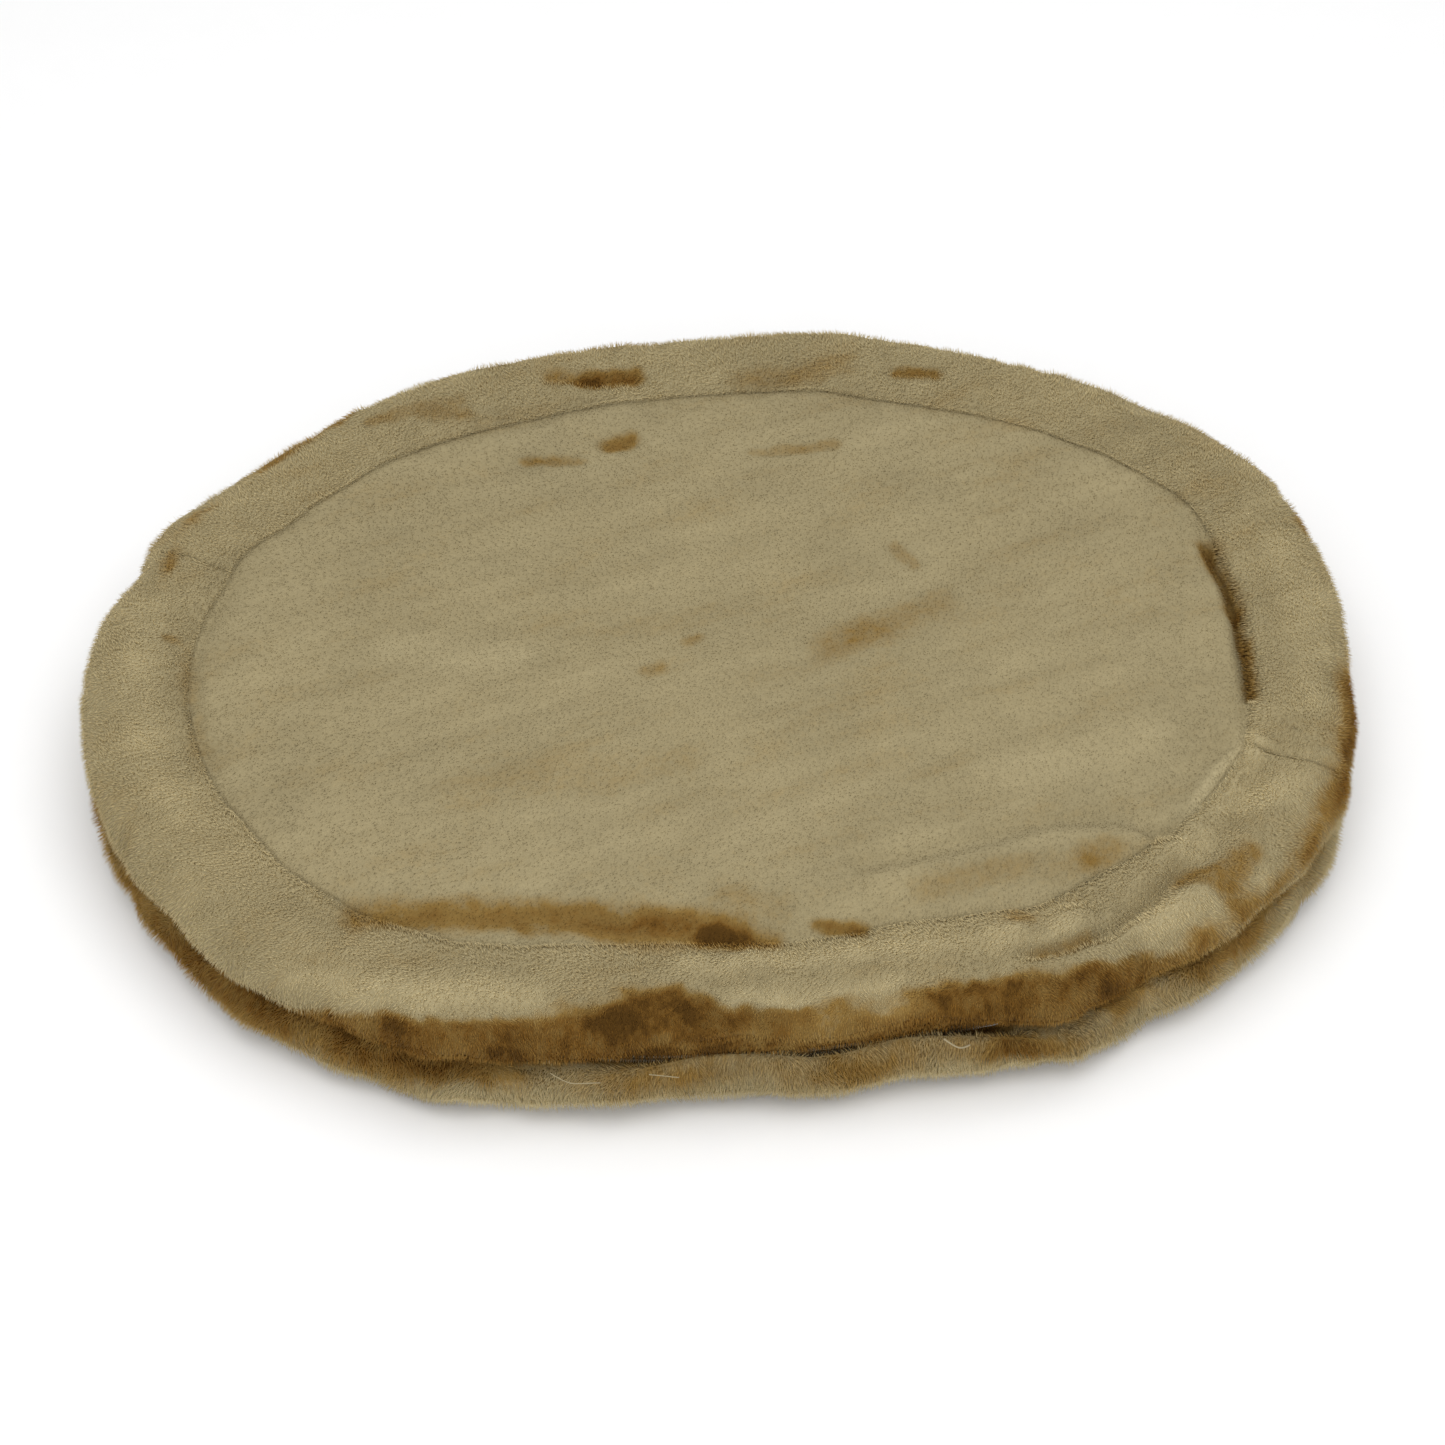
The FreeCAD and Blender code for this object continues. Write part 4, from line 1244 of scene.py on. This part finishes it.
FINISHES = {
    "case_cloth": woven_finish("case_cloth", (0.80, 0.79, 0.76), (0.62, 0.61, 0.58), 900.0, 0.2 * MM),
    "fibre_fill": fibre_finish("fibre_fill", (0.86, 0.86, 0.85), (0.60, 0.60, 0.59), 260.0, 2.0 * MM),
    "wadding": fibre_finish("wadding", (0.86, 0.86, 0.84), (0.66, 0.66, 0.64), 400.0, 1.0 * MM),
    "foam": fibre_finish("foam", (0.83, 0.78, 0.58), (0.58, 0.52, 0.36), 1100.0, 0.6 * MM),
    "base_cloth": woven_finish("base_cloth", (0.215, 0.170, 0.105), (0.110, 0.085, 0.050), 620.0, 0.3 * MM),
    "thread": fibre_finish("thread", (0.27, 0.215, 0.12), (0.18, 0.14, 0.075), 2500.0, 0.1 * MM),
}

# %% Inner parts that settle with the cover
LONGEST_EDGE = 12 * MM
EASE_IN = 3.5 * MM
EASE_DOWN = 5.0 * MM
WALL_HEIGHTS = [0, 24 * MM, CREASE_HEIGHT, 54 * MM, 64 * MM]
WALL_DOWNS = [BASE_DOWN, 112 * MM, CREASE_DOWN, 66 * MM, 30 * MM]
INNER = {
    "rim_case": "case_cloth", "pad_case_top": "case_cloth", "pad_case_bottom": "case_cloth",
    "rim_fill": "fibre_fill", "rim_wadding": "wadding", "lower_wadding": "wadding",
    "wadding_top": "wadding", "wadding_bottom": "wadding", "foam_core": "foam",
}


def settle(node, slot):
    """A copy of an inner part that follows the uneven stuffing."""
    bm = bmesh.new()
    bm.from_mesh(frame["nodes"][node].data)
    bmesh.ops.remove_doubles(bm, verts=bm.verts, dist=0.01 * MM)
    bmesh.ops.recalc_face_normals(bm, faces=bm.faces)
    for halving in range(5):
        long_edges = [edge for edge in bm.edges if edge.calc_length() > LONGEST_EDGE]
        bmesh.ops.subdivide_edges(bm, edges=long_edges, cuts=1)
        bmesh.ops.triangulate(bm, faces=bm.faces)
    mesh = bpy.data.meshes.new(node + "_settled")
    bm.to_mesh(mesh)
    bm.free()
    points = positions(mesh)
    share, inset, outwards = read_oval(points)
    points[:, :2] -= outwards * EASE_IN * (1 - smooth((inset - 20 * MM) / (30 * MM)))[:, None]
    points[:, 2] -= EASE_DOWN * smooth((points[:, 2] - 45 * MM) / (25 * MM))
    down = np.where(inset > GROOVE[0], -0.02, np.interp(points[:, 2], WALL_HEIGHTS, WALL_DOWNS))
    before = points.copy()
    points = slump(fold_top(uneven_outline(points), down), down)
    points[:, 2] = before[:, 2] + (points[:, 2] - before[:, 2]) * smooth(before[:, 2] / (45 * MM))
    put_positions(mesh, points)
    dress(mesh, FINISHES[slot], smooth_faces=False)
    piece = new_piece(node + "_settled", mesh)
    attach(piece, "bed")
    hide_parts(node)
    return piece


for node, slot in INNER.items():
    settle(node, slot)
print(len(INNER), "inner parts settled with the cover")

# %% [markdown]
# ## Stitches
# A lockstitch shows as a row of short threads, each sunk a little where the needle went in. Every stitch
# is the same small flattened bead, laid along its seam. The groove, the crease and the base seam move
# with the uneven stuffing, so their stitches do too.

# %% Rows of stitches
STITCH_PITCH = 4.0 * MM
STITCH_LENGTH = 3.1 * MM
THREAD_WIDTH = 0.8 * MM


def settle_route(points, down):
    """Moves points as the cover moves at a distance down the cloth."""
    down = np.full(len(points), down)
    return slump(fold_top(uneven_outline(points), down), down)


def sew(node, inset, height, down, first_share=0.0, last_share=1.0):
    """A row of stitches along part of the oval, which stands for a CAD thread."""
    count = round((last_share - first_share) * PERIMETER / STITCH_PITCH)
    shares = [first_share + (last_share - first_share) * k / count for k in range(count + 1)]
    route = settle_route(np.array([on_oval(share, inset, height) for share in shares]), down)
    bm = bmesh.new()
    for here, ahead in zip(route, route[1:]):
        run = Vector(ahead - here)
        size = Matrix.Diagonal((STITCH_LENGTH, THREAD_WIDTH, THREAD_WIDTH * 0.8, 1.0))
        place = Matrix.Translation(Vector(here) + run / 2) @ run.to_track_quat("X", "Z").to_matrix().to_4x4()
        bmesh.ops.create_uvsphere(bm, u_segments=6, v_segments=4, radius=0.5, matrix=place @ size)
    mesh = bpy.data.meshes.new(node + "_row")
    bm.to_mesh(mesh)
    bm.free()
    dress(mesh, FINISHES["thread"])
    piece = new_piece(node + "_row", mesh)
    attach(piece, "bed")
    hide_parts(node)
    print(node, "has", count, "stitches")


sew("groove_stitching", GROOVE[0], GROOVE[1] - 1.6 * MM, 0.0)
sew("middle_seam_stitching", CREASE_INSET + 2.5 * MM, CREASE_HEIGHT, CREASE_DOWN, ZIP_END - 1.0, ZIP_START)
sew("base_seam_stitching", BASE_SEAM[0] + 1.5 * MM, 1.0 * MM, BASE_DOWN)

# %% [markdown]
# ## The base
# The underside is one oval of plain woven cloth, sewn in behind the lower strips. It is the face that the
# bed rests on, so it is flat, and only its rim is drawn up to the seam.

# %% Base cloth
BASE_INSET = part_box("base_panel")[0].x - cad_low.x
BASE_RISE = 1.7 * MM
BASE_THICKNESS = 0.9 * MM


def make_base():
    cover = Cover()
    edges = cover.first_row(BASE_INSET, BASE_RISE + 0.4 * MM, 0.0, 0.0)
    for reach in (3, 6, 10, 15, 20):
        level = BASE_THICKNESS + 0.3 * MM + (BASE_RISE - BASE_THICKNESS - 0.3 * MM) * bell(reach, 6)
        edges = cover.next_row(edges, BASE_INSET + reach * MM, level, 0.0, TOP)
    fill_pad(cover, edges)
    bmesh.ops.recalc_face_normals(cover.bm, faces=cover.bm.faces)
    mesh = bpy.data.meshes.new("base_cloth")
    cover.bm.to_mesh(mesh)
    cover.bm.free()
    put_positions(mesh, uneven_outline(positions(mesh)))
    sheet = new_piece("base_cloth_sheet", mesh)
    wall = sheet.modifiers.new("cloth", "SOLIDIFY")
    wall.thickness, wall.offset = BASE_THICKNESS, -1.0
    lined = finished_mesh(sheet, "base_cloth")
    bpy.data.objects.remove(sheet)
    dress(lined, FINISHES["base_cloth"])
    base = new_piece("base_cloth", lined)
    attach(base, "bed")
    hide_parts("base_panel")


make_base()

# %% [markdown]
# ## The zip
# Behind the crease a nylon coil zip closes the cover. Each half is a thread wound into a flat coil and
# sewn to a woven tape. The CAD bar gives each coil's size and place, and a helix inside it gives the
# teeth. The slider and its pull keep their CAD shapes, because they move, and get worn brass.

# %% Coil teeth
COIL_PITCH = 1.3 * MM
COIL_STEPS = 8
COIL_WIRE = 0.28 * MM


def wind_coil(node):
    low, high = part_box(node)
    level, tall = (low.z + high.z) / 2, (high.z - low.z) / 2 - COIL_WIRE
    outer = ZIP_CENTRE.y - low.y
    ends = [math.atan2(x, math.sqrt(outer ** 2 - x ** 2)) for x in (low.x, high.x)]
    deep = 1.0 * MM
    middle = outer - deep - COIL_WIRE
    turns = round((ends[1] - ends[0]) * middle / COIL_PITCH)
    curve = bpy.data.curves.new(node + "_teeth", "CURVE")
    curve.dimensions = "3D"
    curve.bevel_depth, curve.bevel_resolution = COIL_WIRE, 1
    spline = curve.splines.new("POLY")
    spline.points.add(turns * COIL_STEPS)
    for k, point in enumerate(spline.points):
        turn = ends[0] + (ends[1] - ends[0]) * k / (turns * COIL_STEPS)
        phase = 2 * math.pi * k / COIL_STEPS
        reach = middle + deep * math.cos(phase)
        point.co = (reach * math.sin(turn), ZIP_CENTRE.y - reach * math.cos(turn), level + tall * math.sin(phase), 1)
    wound = new_piece(node + "_curve", curve)
    mesh = finished_mesh(wound, node + "_teeth")
    bpy.data.objects.remove(wound)
    dress(mesh, NYLON)
    teeth = new_piece(node + "_teeth", mesh)
    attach(teeth, "bed")
    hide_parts(node)
    print(node, "has", turns, "turns")


def nylon_finish():
    recipe = Recipe("zip_nylon")
    place = recipe.add("TexCoord", output=3)
    wear = recipe.noise(place, 500.0, 2.0)
    colour = recipe.mix(wear, paint(0.14, 0.105, 0.058), paint(0.23, 0.18, 0.105))
    return recipe.finish(colour, 0.32 + 0.2 * wear, Coat_Weight=0.2)


def tape_finish():
    """Herringbone: slanting ribs that turn about every few millimetres."""
    recipe = Recipe("zip_tape")
    place = recipe.add("TexCoord", output=3)
    x = recipe.add("SeparateXYZ", {}, {0: place}, output=0)
    y = recipe.add("SeparateXYZ", {}, {0: place}, output=1)
    zigzag = recipe.add("Math", {"operation": "PINGPONG"}, {0: y, 1: 1.6 * MM})
    ribs = recipe.add("Math", {"operation": "SINE"}, {0: (x + zigzag) * (2 * math.pi / (0.9 * MM))}) * 0.5 + 0.5
    colour = recipe.mix(ribs, paint(0.10, 0.075, 0.040), paint(0.16, 0.125, 0.070))
    return recipe.finish(colour, 0.85, bump=ribs, depth=0.15 * MM)


def brass_finish():
    """Antique plating: tarnish that is darker and brighter in random patches, with fine scratches."""
    recipe = Recipe("antique_brass")
    place = recipe.add("TexCoord", output=3)
    tarnish = recipe.noise(place, 380.0, 4.0, 0.65)
    scratches = recipe.noise(recipe.add("Mapping", {}, {"Vector": place, "Scale": (1.0, 14.0, 6.0)}), 240.0, 2.0)
    colour = recipe.mix((tarnish * 1.5 - 0.35).held(), paint(0.62, 0.50, 0.28), paint(0.24, 0.17, 0.08))
    return recipe.finish(colour, 0.28 + 0.3 * tarnish, bump=tarnish + 0.5 * scratches, depth=0.04 * MM, Metallic=1.0)


NYLON, TAPE, BRASS = nylon_finish(), tape_finish(), brass_finish()
wind_coil("zip_coil_upper")
wind_coil("zip_coil_lower")

# %% Finishes of the CAD pieces that stay
KEPT = {
    "zip_tape_upper": TAPE, "zip_tape_lower": TAPE, "zip_slider": BRASS, "zip_pull": BRASS,
    "zip_stop_closed": BRASS, "zip_stop_open": BRASS,
    "zip_stitching": FINISHES["thread"], "pad_case_stitching": FINISHES["thread"],
}
for node, material in KEPT.items():
    slots = frame["nodes"][node].material_slots
    for slot in slots:
        slot.material = material
print(len(KEPT), "CAD pieces keep their shape")

# %% Loose fibres
FIBRES = [
    ("crease_straw", [(89, -266, 58), (94, -268, 54), (99, -267, 50), (103, -264, 49)], 0.45),
    ("shed_lock", [(-112, -262, 47), (-104, -268, 45), (-95, -270, 47), (-87, -268, 44)], 0.28),
    ("shed_lock_right", [(-62, -268, 48), (-54, -272, 51), (-47, -272, 49)], 0.25),
]


def lay_fibre(name, points, radius):
    curve = bpy.data.curves.new(name, "CURVE")
    curve.dimensions = "3D"
    curve.bevel_depth, curve.bevel_resolution, curve.use_fill_caps = radius * MM, 1, True
    spline = curve.splines.new("NURBS")
    spline.points.add(len(points) - 1)
    for point, (x, y, z) in zip(spline.points, points):
        point.co = (x * MM, y * MM, z * MM, 1)
    spline.order_u, spline.use_endpoint_u = 3, True
    strand = new_piece(name + "_curve", curve)
    mesh = finished_mesh(strand, name)
    bpy.data.objects.remove(strand)
    dress(mesh, STRAW)
    fibre = new_piece(name, mesh)
    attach(fibre, "bed")


STRAW = fibre_finish("pale_straw", (0.42, 0.36, 0.22), (0.26, 0.20, 0.10), 900.0, 0.1 * MM)
for name, points, radius in FIBRES:
    lay_fibre(name, points, radius)
